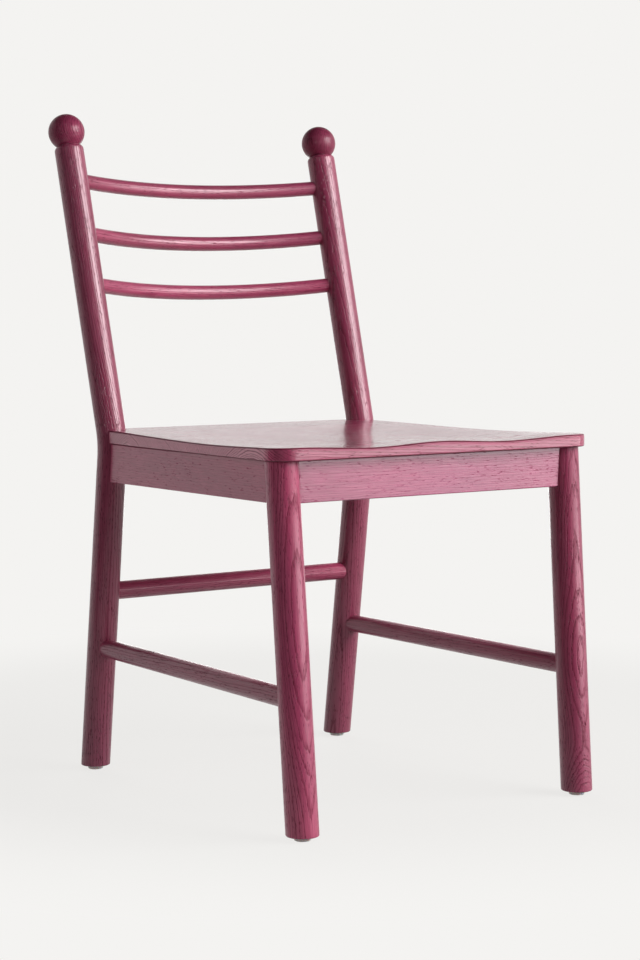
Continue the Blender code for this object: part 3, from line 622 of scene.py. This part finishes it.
def lay_grain(obj, line, facing, pith, start, slant=(0.0, 0.0), bends=STRAIGHT, tone=(1.0, 1.0)):
    """Stores each point's place in its board: x and y from the pith, z along the fibres.

    The fibres follow the line, bent or straight, and facing is the side that x points to.
    slant is how far the pith drifts from the line for each metre along it, and bends how it swings.
    The tone is how much lighter or darker the piece is painted, at its start and at its end: painted light
    and shade.
    """
    mesh = obj.data
    spots = np.empty(len(mesh.vertices) * 3)
    mesh.vertices.foreach_get("co", spots)
    spots = spots.reshape(-1, 3)
    points = np.array([tuple(point) for point in line])
    steps = points[1:] - points[:-1]
    lengths = np.linalg.norm(steps, axis=1)
    runs = np.concatenate([[0], np.cumsum(lengths)[:-1]])
    shares = np.einsum("vsk,sk->vs", spots[:, None] - points[None, :-1], steps) / lengths**2
    low = np.zeros(len(steps))
    high = np.ones(len(steps))
    low[0], high[-1] = -np.inf, np.inf
    shares = np.clip(shares, low, high)
    nearest = points[None, :-1] + shares[..., None] * steps
    gaps = np.linalg.norm(spots[:, None] - nearest, axis=2)
    best = gaps.argmin(axis=1)
    rows = np.arange(len(spots))
    ways = steps / lengths[:, None]
    offset = spots - nearest[rows, best]
    along = runs[best] + shares[rows, best] * lengths[best]
    first = np.array(facing) - ways * (ways @ np.array(facing))[:, None]
    first /= np.linalg.norm(first, axis=1)[:, None]
    second = np.cross(ways, first)
    x = (offset * first[best]).sum(axis=1) + pith[0] + slant[0] * along + swing(along, bends)
    y = (offset * second[best]).sum(axis=1) + pith[1] + slant[1] * along
    places = np.stack([x, y, along + start], axis=1)
    layer = mesh.attributes.new("grain", "FLOAT_VECTOR", "POINT")
    layer.data.foreach_set("vector", places.ravel())
    # The tone, from the piece's start to its end, is painted light and shade
    layer = mesh.attributes.new("tone", "FLOAT", "POINT")
    shares = np.clip(along / lengths.sum(), 0, 1)
    layer.data.foreach_set("value", tone[0] + (tone[1] - tone[0]) * shares)


def turned_object(name, profile, sides, place=Matrix.Identity(4), closed=False):
    """A profile of (radius, height) pairs, from the top down its outer side, turned about Z."""
    form = bmesh.new()
    points = [form.verts.new((radius, 0, height)) for radius, height in profile]
    pairs = list(zip(points, points[1:])) + ([(points[-1], points[0])] if closed else [])
    edges = [form.edges.new(pair) for pair in pairs]
    bmesh.ops.spin(
        form, geom=points + edges, cent=(0, 0, 0), axis=(0, 0, 1), angle=2 * math.pi, steps=sides
    )
    mesh = made_mesh(name, form)
    mesh.transform(place)
    tidy_mesh(mesh)
    return add_object(name, mesh)


def at_height(line, height):
    """The point of a rising line at a height. Its first and last stretches go on past its ends."""
    for low, high in zip(line, line[1:]):
        if height <= high.z or high is line[-1]:
            return low.lerp(high, (height - low.z) / (high.z - low.z))


def directed(point, direction):
    """The place at a point whose Z lies along a direction."""
    return Matrix.Translation(point) @ direction.to_track_quat("Z", "Y").to_matrix().to_4x4()


def rounded_end(tip, inward, radius, along, across, steps):
    """Stations round the edge of a rod's end, from the tip inward."""
    stations = []
    for step in range(steps + 1):
        turn = math.pi / 2 * step / steps
        point = tip + inward * along * (1 - math.cos(turn))
        stations.append((point, radius - across * (1 - math.sin(turn))))
    return stations


def filled_in(stations, longest=0.008):
    """The same stations, with more between any two that lie far apart."""
    full = [stations[0]]
    for (point, radius), (onward, width) in zip(stations, stations[1:]):
        count = max(1, math.ceil((onward - point).length / longest))
        for step in range(1, count + 1):
            share = step / count
            full.append((point.lerp(onward, share), radius + (width - radius) * share))
    return full


# Legs and posts


def leg_line(side):
    floor = Vector((side * FRONT_FOOT_SPACING / 2, MIDDLE_Y - FOOT_DEPTH / 2, 0))
    top = Vector((side * FRONT_TOP_SPACING / 2, floor.y + FRONT_RAKE, SEAT_UNDERSIDE))
    return [at_height([floor, top], FOOT_HEIGHT), at_height([floor, top], FRAME_TOP)]


def post_line(side):
    floor = Vector((side * BACK_FOOT_SPACING / 2, MIDDLE_Y + FOOT_DEPTH / 2, 0))
    bend = Vector((side * BEND_SPACING / 2, floor.y - BACK_RAKE, BEND_HEIGHT))
    ball = Vector((side * BALL_SPACING / 2, bend.y + BACK_LEAN, BALL_HEIGHT))
    below = (bend - floor).normalized()
    above = (ball - bend).normalized()
    turn = below.angle(above)
    inward = (above - below * below.dot(above)).normalized()
    centre = bend - below * BEND_RADIUS * math.tan(turn / 2) + inward * BEND_RADIUS
    line = [at_height([floor, bend], FOOT_HEIGHT)]
    for step in range(ARC_STEPS + 1):
        angle = turn * step / ARC_STEPS
        line.append(centre + (below * math.sin(angle) - inward * math.cos(angle)) * BEND_RADIUS)
    return [*line, ball]


LEG_LINES = {name: leg_line(side) for name, side in SIDES.items()}
POST_LINES = {name: post_line(side) for name, side in SIDES.items()}

# Each round piece's place in its board, as lay_grain takes it, with its tone: painted light and shade
LEG_BOARDS = {
    "left": {
        "pith": (0.0462, 0.002),
        "start": 0.37,
        "slant": (0.0, 0.004),
        "bends": [(-0.01, -0.0150), (0.252, 0.0), (0.45, -0.0085)],
        "tone": (1.30, 1.24),
    },
    "right": {
        "pith": (0.0500, -0.001),
        "start": 2.11,
        "slant": (0.0, 0.004),
        "bends": [(-0.02, 0.0120), (0.062, -0.0062), (0.170, 0.0), (0.30, -0.0090), (0.45, -0.0140)],
        "tone": (0.92, 0.94),
    },
}
POST_BOARDS = {
    "left": {
        "pith": (0.020, 0.042),
        "start": 4.03,
        "slant": (0.02, 0.02),
        "bends": [(0.0, 0.004), (0.35, -0.004), (0.60, 0.003), (0.9, -0.004)],
        "tone": (0.74, 0.95),
    },
    "right": {
        "pith": (-0.024, 0.040),
        "start": 5.41,
        "slant": (-0.02, 0.02),
        "bends": [(0.0, -0.003), (0.4, 0.004), (0.9, -0.004)],
        "tone": (0.80, 0.98),
    },
}
# How much lighter each ball is painted: painted light
BALL_PAINTED_LIGHT = {"left": 1.12, "right": 1.02}
BALL_BOARD_STEP = 7.3  # along the board, from where the post was cut
FORWARD = (0, -1, 0)
UPWARD = (0, 0, 1)


def make_front_leg(name, line):
    up = (line[1] - line[0]).normalized()
    foot = rounded_end(line[0], up, LEG_RADIUS, FOOT_ROUND, FOOT_ROUND, EASE_STEPS)
    top = rounded_end(line[1], -up, LEG_RADIUS, TOP_EASE, TOP_EASE, EASE_STEPS // 2)
    ends = [(line[0], up), (line[1], -up)]
    leg = rod_object("leg_front_" + name, filled_in(foot + top[::-1]), level_ends=ends)
    lay_grain(leg, line, FORWARD, **LEG_BOARDS[name])
    dress(leg, TURNED_WOOD, ["front_leg_" + name])


def make_back_post(name, line):
    up = (line[1] - line[0]).normalized()
    lean = (line[-1] - line[-2]).normalized()
    tip = line[-1] - lean * (NECK_DROP + FIT)
    foot = rounded_end(line[0], up, POST_RADIUS, FOOT_ROUND, FOOT_ROUND, EASE_STEPS)
    bend = [(point, POST_RADIUS) for point in line[1:-1]]
    drop = POST_RADIUS - NECK_RADIUS
    shoulder = rounded_end(tip, -lean, POST_RADIUS, SHOULDER_LENGTH, drop, SHOULDER_STEPS)
    stations = filled_in([*foot, *bend, *shoulder[::-1]])
    post = rod_object("post_back_" + name, stations, level_ends=[(line[0], up)])
    lay_grain(post, line, FORWARD, **POST_BOARDS[name])
    dress(post, TURNED_WOOD, ["back_post_" + name])


def make_finial(name, line):
    """A turned ball on a thin lip."""
    lean = (line[-1] - line[-2]).normalized()
    last = math.pi - math.asin(BALL_FOOT_RADIUS / BALL_RADIUS)
    turns = [last * step / BALL_STEPS for step in range(BALL_STEPS + 1)]
    ball = [(BALL_RADIUS * math.sin(turn), BALL_RADIUS * math.cos(turn)) for turn in turns]
    lip_middle = -NECK_DROP + LIP_HEIGHT / 2
    lip = []
    for step in range(LIP_STEPS + 1):
        turn = math.pi * step / LIP_STEPS
        height = lip_middle + LIP_HEIGHT / 2 * math.cos(turn)
        lip.append((BALL_FOOT_RADIUS + LIP_WIDTH * math.sin(turn), height))
    foot = [(NECK_RADIUS, -NECK_DROP), (0, -NECK_DROP)]
    place = directed(line[-1], lean)
    finial = turned_object("ball_" + name, [*ball, *lip, *foot], ROUND_SIDES, place)
    axis = [line[-1] - lean * 0.05, line[-1] + lean * 0.05]
    board = POST_BOARDS[name]
    pith = [distance / 2 for distance in board["pith"]]
    start = board["start"] + BALL_BOARD_STEP
    lay_grain(finial, axis, FORWARD, pith, start, board["slant"], tone=[BALL_PAINTED_LIGHT[name]] * 2)
    dress(finial, BALL_WOOD, ["finial_" + name])


for side_name in SIDES:
    make_front_leg(side_name, LEG_LINES[side_name])
    make_back_post(side_name, POST_LINES[side_name])
    make_finial(side_name, POST_LINES[side_name])


# Stretchers and rungs


def make_stretcher(name, ends, radii, board, tone):
    """A straight rod between two centre lines' points, let into the legs as far as its shoulders."""
    start, end = ends
    way = (end - start).normalized()
    tips = [start + way * (radii[0] - SHOULDER_DEPTH), end - way * (radii[1] - SHOULDER_DEPTH)]
    stretcher = rod_object(name + "_rod", filled_in([(tip, STRETCHER_RADIUS) for tip in tips]))
    lay_grain(stretcher, ends, UPWARD, *board, tone=(tone, tone))
    dress(stretcher, RUNG_WOOD, [name])


def make_rung(name, height, bow, board, tone):
    """A rung bowed back along an arc, square to the lean of the back."""
    start, end = (at_height(POST_LINES[side], height) for side in SIDES)
    line = POST_LINES["left"]
    lean = (line[-1] - line[-2]).normalized()
    along = (end - start).normalized()
    backward = along.cross(lean).normalized()
    if backward.y < 0:
        backward = -backward
    half = (end - start).length / 2
    arc_radius = (half**2 + bow**2) / (2 * bow)
    half_turn = math.asin(half / arc_radius)
    middle = (start + end) / 2

    def place(distance):
        angle = distance / arc_radius - half_turn
        depth = arc_radius * math.cos(angle) - (arc_radius - bow)
        return middle + along * arc_radius * math.sin(angle) + backward * depth

    length = 2 * half_turn * arc_radius
    inset = POST_RADIUS - SHOULDER_DEPTH
    shares = [step / RUNG_STEPS for step in range(RUNG_STEPS + 1)]
    points = [place(inset + (length - 2 * inset) * share) for share in shares]
    rung = rod_object(name + "_rod", [(point, RUNG_RADIUS) for point in points], SMALL_SIDES)
    lay_grain(rung, points, UPWARD, *board, tone=(tone, tone))
    dress(rung, RUNG_WOOD, [name])


# The number after each board is the piece's tone, painted light and shade
# A board here is its pith, start and slant
for side_name in SIDES:
    make_stretcher(
        "side_stretcher_" + side_name,
        [
            at_height(LEG_LINES[side_name], SIDE_STRETCHER_FRONT_HEIGHT),
            at_height(POST_LINES[side_name], SIDE_STRETCHER_BACK_HEIGHT),
        ],
        (LEG_RADIUS, POST_RADIUS),
        ((0.030, 0.012 * SIDES[side_name]), 8.2 + SIDES[side_name], (0.02, 0.01)),
        0.90,
    )
make_stretcher(
    "back_stretcher",
    [at_height(POST_LINES[side], BACK_STRETCHER_HEIGHT) for side in SIDES],
    (POST_RADIUS, POST_RADIUS),
    ((0.026, -0.020), 10.4, (0.015, 0.02)),
    1.12,
)
# Each rung's last number is its tone, painted light and shade, lightest on the bottom rung
for place, board, tone in (
    ("top", ((-0.020, 0.022), 11.3, (0.02, 0.01)), 1.06),
    ("middle", ((0.024, 0.018), 12.7, (0.01, 0.02)), 1.14),
    ("bottom", ((0.018, -0.026), 14.1, (0.02, 0.02)), 1.28),
):
    make_rung(place + "_rung", *RUNGS[place], board, tone)


# Seat

LEG_TOP = LEG_LINES["right"][-1]
POST_AT_SEAT = at_height(POST_LINES["right"], SEAT_UNDERSIDE + SEAT_BACK_THICKNESS / 2)
SEAT_FRONT = LEG_TOP.y - LEG_RADIUS - SEAT_FRONT_OVERHANG
SEAT_BACK = POST_AT_SEAT.y + POST_RADIUS - SEAT_BACK_INSET
SEAT_DEPTH = SEAT_BACK - SEAT_FRONT
SEAT_FRONT_HALF = LEG_TOP.x + LEG_RADIUS + SEAT_SIDE_OVERHANG
SEAT_TAPER = (POST_AT_SEAT.x + SEAT_REAR_EXTRA - SEAT_FRONT_HALF) / (POST_AT_SEAT.y - SEAT_FRONT)
SEAT_SIDE_SLOPE = math.hypot(1, SEAT_TAPER)


def swell(place, start, peak, end):
    """Eased from 0 at the start up to 1 at the peak and back to 0 at the end."""
    share = (place - start) / (peak - start) if place < peak else (end - place) / (end - peak)
    share = min(max(share, 0), 1)
    return share * share * (3 - 2 * share)


def seat_thickness(x, y):
    back = (y - SEAT_FRONT) / SEAT_DEPTH
    flat = SEAT_FRONT_THICKNESS + (SEAT_BACK_THICKNESS - SEAT_FRONT_THICKNESS) * back
    thigh = THIGH_SPACING / 2
    side_dip = SIDE_DIP * swell(back, -0.05, SIDE_DIP_PLACE, 1.02)
    thigh_dip = THIGH_DIP * swell(abs(x), 0, thigh, thigh + THIGH_REACH)
    thigh_dip *= swell(back, -1, THIGH_DIP_PLACE, 0.95)
    dish = DISH * swell(abs(x), -thigh, 0, thigh) * swell(back, 0, DISH_PLACE, 1)
    return flat - side_dip - thigh_dip - dish


def seat_outline(inset):
    """The points round the seat, always as many, moved in by an inset."""
    front, back = SEAT_FRONT + inset, SEAT_BACK - inset

    def half_width(y):
        return SEAT_FRONT_HALF + SEAT_TAPER * (y - SEAT_FRONT) - inset * SEAT_SIDE_SLOPE

    # Each corner's place and radius, and the steps of the edge that follows it
    corners = [
        (Vector((-half_width(front), front)), FRONT_CORNER_RADIUS, 84),
        (Vector((half_width(front), front)), FRONT_CORNER_RADIUS, 72),
        (Vector((half_width(back), back)), REAR_CORNER_RADIUS, 60),
        (Vector((-half_width(back), back)), REAR_CORNER_RADIUS, 72),
    ]
    arcs = []
    for index, (corner, radius, steps) in enumerate(corners):
        coming = (corner - corners[index - 1][0]).normalized()
        going = (corners[(index + 1) % 4][0] - corner).normalized()
        radius = max(radius - inset, REAR_CORNER_RADIUS)
        turn = coming.angle(going)
        left = Vector((-coming.y, coming.x))
        centre = corner - coming * radius * math.tan(turn / 2) + left * radius
        angles = [turn * step / CORNER_STEPS for step in range(CORNER_STEPS + 1)]
        arcs.append([centre + (coming * math.sin(a) - left * math.cos(a)) * radius for a in angles])
    points = []
    for index, (_, _, steps) in enumerate(corners):
        onward = arcs[(index + 1) % 4][0]
        points += arcs[index]
        points += [arcs[index][-1].lerp(onward, step / steps) for step in range(1, steps)]
    return points


# Painted shade: these rings are darkened, as shade along the seat's lower rounding and a dark line along its
# top arris
SEAT_PAINTED_SHADE_RINGS = [*range(5, 11), 17, 18, 19]  # the lower rounding, and the middle of the upper one


def on_top(ring, drop=0.0):
    """A flat ring's points, laid on the top of the seat or a drop below it."""
    return [(x, y, SEAT_UNDERSIDE + seat_thickness(x, y) - drop) for x, y in ring]


def seat_rings():
    """Rings from the middle of the underside, out round the edge and in to the middle of the top."""
    rings = []
    middle = Vector((0, (SEAT_FRONT + SEAT_BACK) / 2))
    inner = seat_outline(0.02)
    for share in (0.02, 0.25, 0.5, 0.75, 1.0):
        rings.append([(*middle.lerp(point, share), SEAT_UNDERSIDE) for point in inner])
    for inset, rise in QUARTER:
        height = SEAT_UNDERSIDE + SEAT_BOTTOM_ROUND * rise
        rings.append([(x, y, height) for x, y in seat_outline(SEAT_BOTTOM_ROUND * inset)])
    for drop, inset in QUARTER:
        rings.append(on_top(seat_outline(SEAT_TOP_ROUND * inset), SEAT_TOP_ROUND * drop))
    deepest = 0.8 * SEAT_DEPTH / 2
    for step in range(1, HOLLOW_RINGS + 1):
        inset = SEAT_TOP_ROUND + (deepest - SEAT_TOP_ROUND) * (step / HOLLOW_RINGS) ** 1.2
        rings.append(on_top(seat_outline(inset)))
    last = [Vector(point[:2]) for point in rings[-1]]
    for share in (0.85, 0.7, 0.55, 0.4, 0.25, 0.1, 0.02):
        rings.append(on_top([middle.lerp(point, share) for point in last]))
    return rings


def make_seat():
    form = bmesh.new()
    # Marks the rings of the edge that get painted shade
    arris = form.verts.layers.float.new("arris")
    rings = [[form.verts.new(point) for point in ring] for ring in seat_rings()]
    for index in SEAT_PAINTED_SHADE_RINGS:
        for vertex in rings[index]:
            vertex[arris] = 1.0
    for lower, upper in zip(rings, rings[1:]):
        for index in range(len(lower)):
            form.faces.new((lower[index - 1], lower[index], upper[index], upper[index - 1]))
    form.faces.new(rings[0][::-1])
    form.faces.new(rings[-1])
    bmesh.ops.recalc_face_normals(form, faces=form.faces)
    seat = add_object("seat_board", made_mesh("seat_board", form))
    cutters = []
    for name, side in SIDES.items():
        line = POST_LINES[name]
        stations = [(point, POST_RADIUS + SEAT_NOTCH_GAP) for point in line]
        cutters.append(rod_object("notch_" + name, stations))
        inner = side * (POST_AT_SEAT.x - TONGUE_SETBACK)
        outer = side * (SEAT_FRONT_HALF + 0.02)
        box = bmesh.new()
        size = Matrix.Diagonal((abs(outer - inner), 0.06, 0.06, 1))
        middle = ((inner + outer) / 2, POST_AT_SEAT.y + 0.03, SEAT_UNDERSIDE + 0.01)
        bmesh.ops.create_cube(box, size=1, matrix=Matrix.Translation(middle) @ size)
        cutters.append(add_object("corner_" + name, made_mesh("corner_" + name, box)))
    for cutter in cutters:
        modifier = seat.modifiers.new(cutter.name, "BOOLEAN")
        modifier.operation = "DIFFERENCE"
        modifier.solver = "EXACT"
        modifier.object = cutter
    mesh = plain_mesh(seat)
    for cutter in cutters:
        bpy.data.objects.remove(cutter)
    tidy_mesh(mesh)
    dress(seat, SEAT_WOOD, ["seat"])


make_seat()


# Boards that keep their solids, each with wood of its own


def finish_node(node, material):
    obj = SOLIDS[node]
    obj.data.materials.clear()
    obj.data.materials.append(material)


RIFT = {
    "year_width": 0.0029,
    "year_depth": 0.16,
    "wander": 0.006,
    "pore_depth": 0.42,
    "open_wood": 0.28,
    "scatter": 0.12,
    "ragged": 1.3,
    "early_openness": 0.14,
}
# The aprons' stains are taken lighter here as painted light, most on the left apron
for board_name, node_name, turn, pith, stain in (
    ("front apron", "front_apron", ALONG_X, (0.520, 0.272, 1.3), toned(COOL_PLUM, 1.05)),
    ("back apron", "back_apron", ALONG_X, (0.515, -0.16, 3.3), PLUM),
    ("left apron", "side_apron_left", ALONG_Y, (0.225, 0.52, 5.2), toned(PLUM, 1.3)),
    ("right apron", "side_apron_right", ALONG_Y, (-0.225, 0.53, 6.1), PLUM),
):
    finish_node(node_name, board_wood(board_name + " wood", turn, pith, stain, **RIFT))
for name in ("front_left", "front_right", "back_left", "back_right"):
    way = 45 if name in ("front_left", "back_right") else -45
    turn = (math.radians(90), 0, math.radians(way))
    block = board_wood("block wood " + name, turn, (0.03, 0.45, 1.0), BARE, lacquer=False)
    finish_node("corner_block_" + name, block)


# Glides and their nails


def glide_profile():
    hole, pocket = NAIL_RADIUS + FIT, NAIL_HEAD_RADIUS + FIT
    ceiling = NAIL_HEAD_LIFT + NAIL_HEAD_HEIGHT + FIT
    rim = [(GLIDE_RADIUS - GLIDE_EASE * inset, GLIDE_HEIGHT - GLIDE_EASE * drop) for inset, drop in QUARTER]
    rounding = [(GLIDE_RADIUS - GLIDE_ROUND * inset, GLIDE_ROUND * rise) for rise, inset in QUARTER]
    return [*rim, *rounding, (pocket, 0), (pocket, ceiling), (hole, ceiling), (hole, GLIDE_HEIGHT)]


def nail_profile():
    top = NAIL_HEAD_LIFT + NAIL_HEAD_HEIGHT
    tip = NAIL_HEAD_LIFT + NAIL_LENGTH
    rim = NAIL_HEAD_RADIUS
    return [
        (0, tip),
        (NAIL_RADIUS, tip - 2 * NAIL_RADIUS),
        (NAIL_RADIUS, top),
        (rim - 0.0002, top),
        (rim, top - 0.0003),
        (rim, NAIL_HEAD_LIFT + 0.0004),
        (rim - 0.0004, NAIL_HEAD_LIFT + 0.0001),
        (0, NAIL_HEAD_LIFT),
    ]


def copies_tree():
    """One upright shape on each point of a mesh."""
    tree = Shaping("copies", ("Points", "Geometry"), ("Shape", "Object"), ("Finish", "Material"))
    shape = tree.step("ObjectInfo", {"Object": tree.source["Shape"]}, "Geometry")
    tree.end(tree.step("InstanceOnPoints", {"Points": tree.source["Points"], "Instance": shape}))
    return tree


COPIES_TREE = copies_tree()


def copies(name, shape, points, finish):
    """Copies of a shape on points, as one plain mesh. The shape itself goes."""
    mesh = bpy.data.meshes.new(name)
    mesh.from_pydata(points, [], [])
    obj = add_object(name, mesh)
    COPIES_TREE.shape(obj, Shape=shape, Finish=finish)
    bpy.data.objects.remove(shape)
    return obj


FEET = {}
for side_name in SIDES:
    for row, line in (("front", LEG_LINES[side_name]), ("back", POST_LINES[side_name])):
        FEET[f"{row}_{side_name}"] = Vector((line[0].x, line[0].y, 0))
for foot_name, foot in FEET.items():
    place = Matrix.Translation(foot)
    glide = turned_object("pad_" + foot_name, glide_profile(), SMALL_SIDES, place, closed=True)
    dress(glide, PLASTIC, ["glide_" + foot_name])
nail = turned_object("nail", nail_profile(), NAIL_SIDES)
nails = copies("pad_nails", nail, list(FEET.values()), ZINC)
dress(nails, ZINC, ["glide_nail_" + foot_name for foot_name in FEET])
for node_name in SOLIDS:
    if "_screw_" in node_name:
        finish_node(node_name, ZINC)


# Floor, light and background

BACKDROP = rgb(244, 243, 241)
FLOOR_RADIUS = 14.0
SHADOW_MIDDLE = (0.20, 0.30, 0.0)
SHADOW_RIM = (0.55, 1.05)  # how far from its middle the floor turns into backdrop


def seen_rays(recipe):
    """1 for the rays that show a place to the camera, straight, mirrored or through glass, else 0."""
    path = recipe.node("ShaderNodeLightPath").outputs
    seen = recipe.math("MAXIMUM", path["Is Camera Ray"], path["Is Glossy Ray"])
    return recipe.math("MAXIMUM", seen, path["Is Transmission Ray"])


def make_floor():
    """A round pale floor that runs into the backdrop's colour and is clear from below. Round a middle behind
    the chair it is painted darker as a shade pool, and there it also shows the chair's real shadow.
    """
    form = bmesh.new()
    bmesh.ops.create_circle(form, cap_ends=True, radius=FLOOR_RADIUS, segments=128)
    floor = add_object("floor", made_mesh("floor", form))
    recipe = Recipe("pale floor")
    x, y, z = recipe.parts(recipe.place())
    middle = recipe.vector("SUBTRACT", recipe.joined(x, y, 0.0), SHADOW_MIDDLE)
    reach = recipe.vector("LENGTH", middle)
    # Painted shade: near the middle a share of lit floor, darker than the backdrop's glow, is mixed in; the
    # chair's own shadow falls in that share
    glow_share = recipe.span(reach, *SHADOW_RIM, 0.86, 1.0)
    surface = recipe.node("ShaderNodeBsdfDiffuse", {"Color": rgb(208, 207, 205)}).outputs[0]
    brightness = recipe.span(seen_rays(recipe), 0.0, 1.0, 0.15, 1.0)
    glow = recipe.node("ShaderNodeEmission", {"Color": BACKDROP, "Strength": brightness}).outputs[0]
    blend = recipe.node("ShaderNodeMixShader", {0: glow_share, 1: surface, 2: glow}).outputs[0]
    under = recipe.node("ShaderNodeNewGeometry").outputs["Backfacing"]
    clear = recipe.node("ShaderNodeBsdfTransparent").outputs[0]
    blend = recipe.node("ShaderNodeMixShader", {0: under, 1: blend, 2: clear}).outputs[0]
    recipe.feed(recipe.tree.nodes["Material Output"].inputs["Surface"], blend)
    floor.data.materials.append(recipe.block)


def make_light(name, place, target, size, power, diffuse=True, gloss=True, only=()):
    """A soft panel at a place, turned to a target. With only, it lights just those pieces."""
    data = bpy.data.lights.new(name, "AREA")
    data.shape = "RECTANGLE"
    data.size, data.size_y = size
    data.energy = power
    lamp = bpy.data.objects.new(name, data)
    lamp.visible_diffuse = diffuse
    lamp.visible_glossy = gloss
    lamp.matrix_world = directed(Vector(place), Vector(place) - Vector(target))
    lamp.visible_camera = False
    bpy.context.scene.collection.objects.link(lamp)
    if only:
        lit = bpy.data.collections.new(name + " pieces")
        for piece in only:
            lit.objects.link(bpy.data.objects[piece])
        lamp.light_linking.receiver_collection = lit


def make_world():
    """The backdrop's colour for all that is seen, and a dim room for the light itself."""
    recipe = Recipe("studio", bpy.data.worlds, "Background")
    recipe.feed(recipe.shader.inputs["Color"], (0.10, 0.10, 0.10, 1))
    recipe.feed(recipe.shader.inputs["Strength"], 1.0)
    backdrop = recipe.node("ShaderNodeBackground", {"Color": BACKDROP}).outputs[0]
    values = {0: seen_rays(recipe), 1: recipe.shader.outputs[0], 2: backdrop}
    blend = recipe.node("ShaderNodeMixShader", values).outputs[0]
    recipe.feed(recipe.tree.nodes["World Output"].inputs["Surface"], blend)
    bpy.context.scene.world = recipe.block


def make_cards():
    """Dark cards behind the camera, before its feet and overhead, out of its sight."""
    near, reach, low, roof = 0.95, 3.4, 0.004, 2.95
    toward = math.atan2(CAMERA_PLACE.y, CAMERA_PLACE.x)
    turns = [toward + math.radians(aside) for aside in range(-77, 34, 5)]
    form = bmesh.new()
    rows = []
    for radius, height in ((near, low), (reach, low), (reach, roof)):
        spots = [(radius * math.cos(turn), radius * math.sin(turn), height) for turn in turns]
        rows.append([form.verts.new(spot) for spot in spots])
    for first, second in zip(rows, rows[1:]):
        for index in range(len(turns) - 1):
            form.faces.new((first[index], first[index + 1], second[index + 1], second[index]))
    over = Matrix.Translation((0, 0, roof + 0.05))
    bmesh.ops.create_circle(form, cap_ends=True, radius=reach, segments=48, matrix=over)
    cards = add_object("dark_cards", made_mesh("dark_cards", form))
    recipe = Recipe("dark card")
    cards.data.materials.append(recipe.finish(Base_Color=(0.03, 0.03, 0.03, 1), Roughness=0.9))
    cards.visible_camera = False


make_floor()
make_cards()

# Lamps: place, target, size and watts. Some give only diffuse light or only highlights
CHAIR_MIDDLE = (0, -0.05, 0.45)
LOW_MIDDLE = (0, -0.05, 0.30)
make_light("key softbox", (1.56, -1.88, 1.45), CHAIR_MIDDLE, (2.1, 1.8), 90, gloss=False)
make_light("key sheen", (1.45, -2.02, 2.10), CHAIR_MIDDLE, (3.0, 1.0), 22, diffuse=False)
make_light("low panel", (1.96, -2.15, 0.22), LOW_MIDDLE, (2.2, 0.42), 16.5, diffuse=False)
make_light("rear strip", (1.49, 2.13, 0.22), LOW_MIDDLE, (1.4, 0.42), 8, diffuse=False)
BACK_PIECES = [f"{part}_{side}" for part in ("post_back", "ball") for side in SIDES]
BACK_PIECES += [f"{place}_rung_rod" for place in RUNGS]
make_light("back sheen", (1.53, -2.12, 1.77), CHAIR_MIDDLE, (2.2, 1.8), 138, diffuse=False, only=BACK_PIECES)
make_light("near fill", (-1.10, -1.30, 0.60), (-0.2, -0.28, 0.40), (0.8, 0.8), 2.1, gloss=False)
make_light("side fill", (-1.70, -0.60, 0.50), CHAIR_MIDDLE, (0.8, 0.8), 1.4, gloss=False)
make_light("left fill", (-2.4, 0.2, 1.1), CHAIR_MIDDLE, (0.9, 1.6), 5.5, gloss=False)
make_light("rear fill", (0.8, 2.6, 1.4), CHAIR_MIDDLE, (2.2, 2.2), 46, gloss=False)
make_world()
bpy.context.scene.view_settings.view_transform = "Standard"
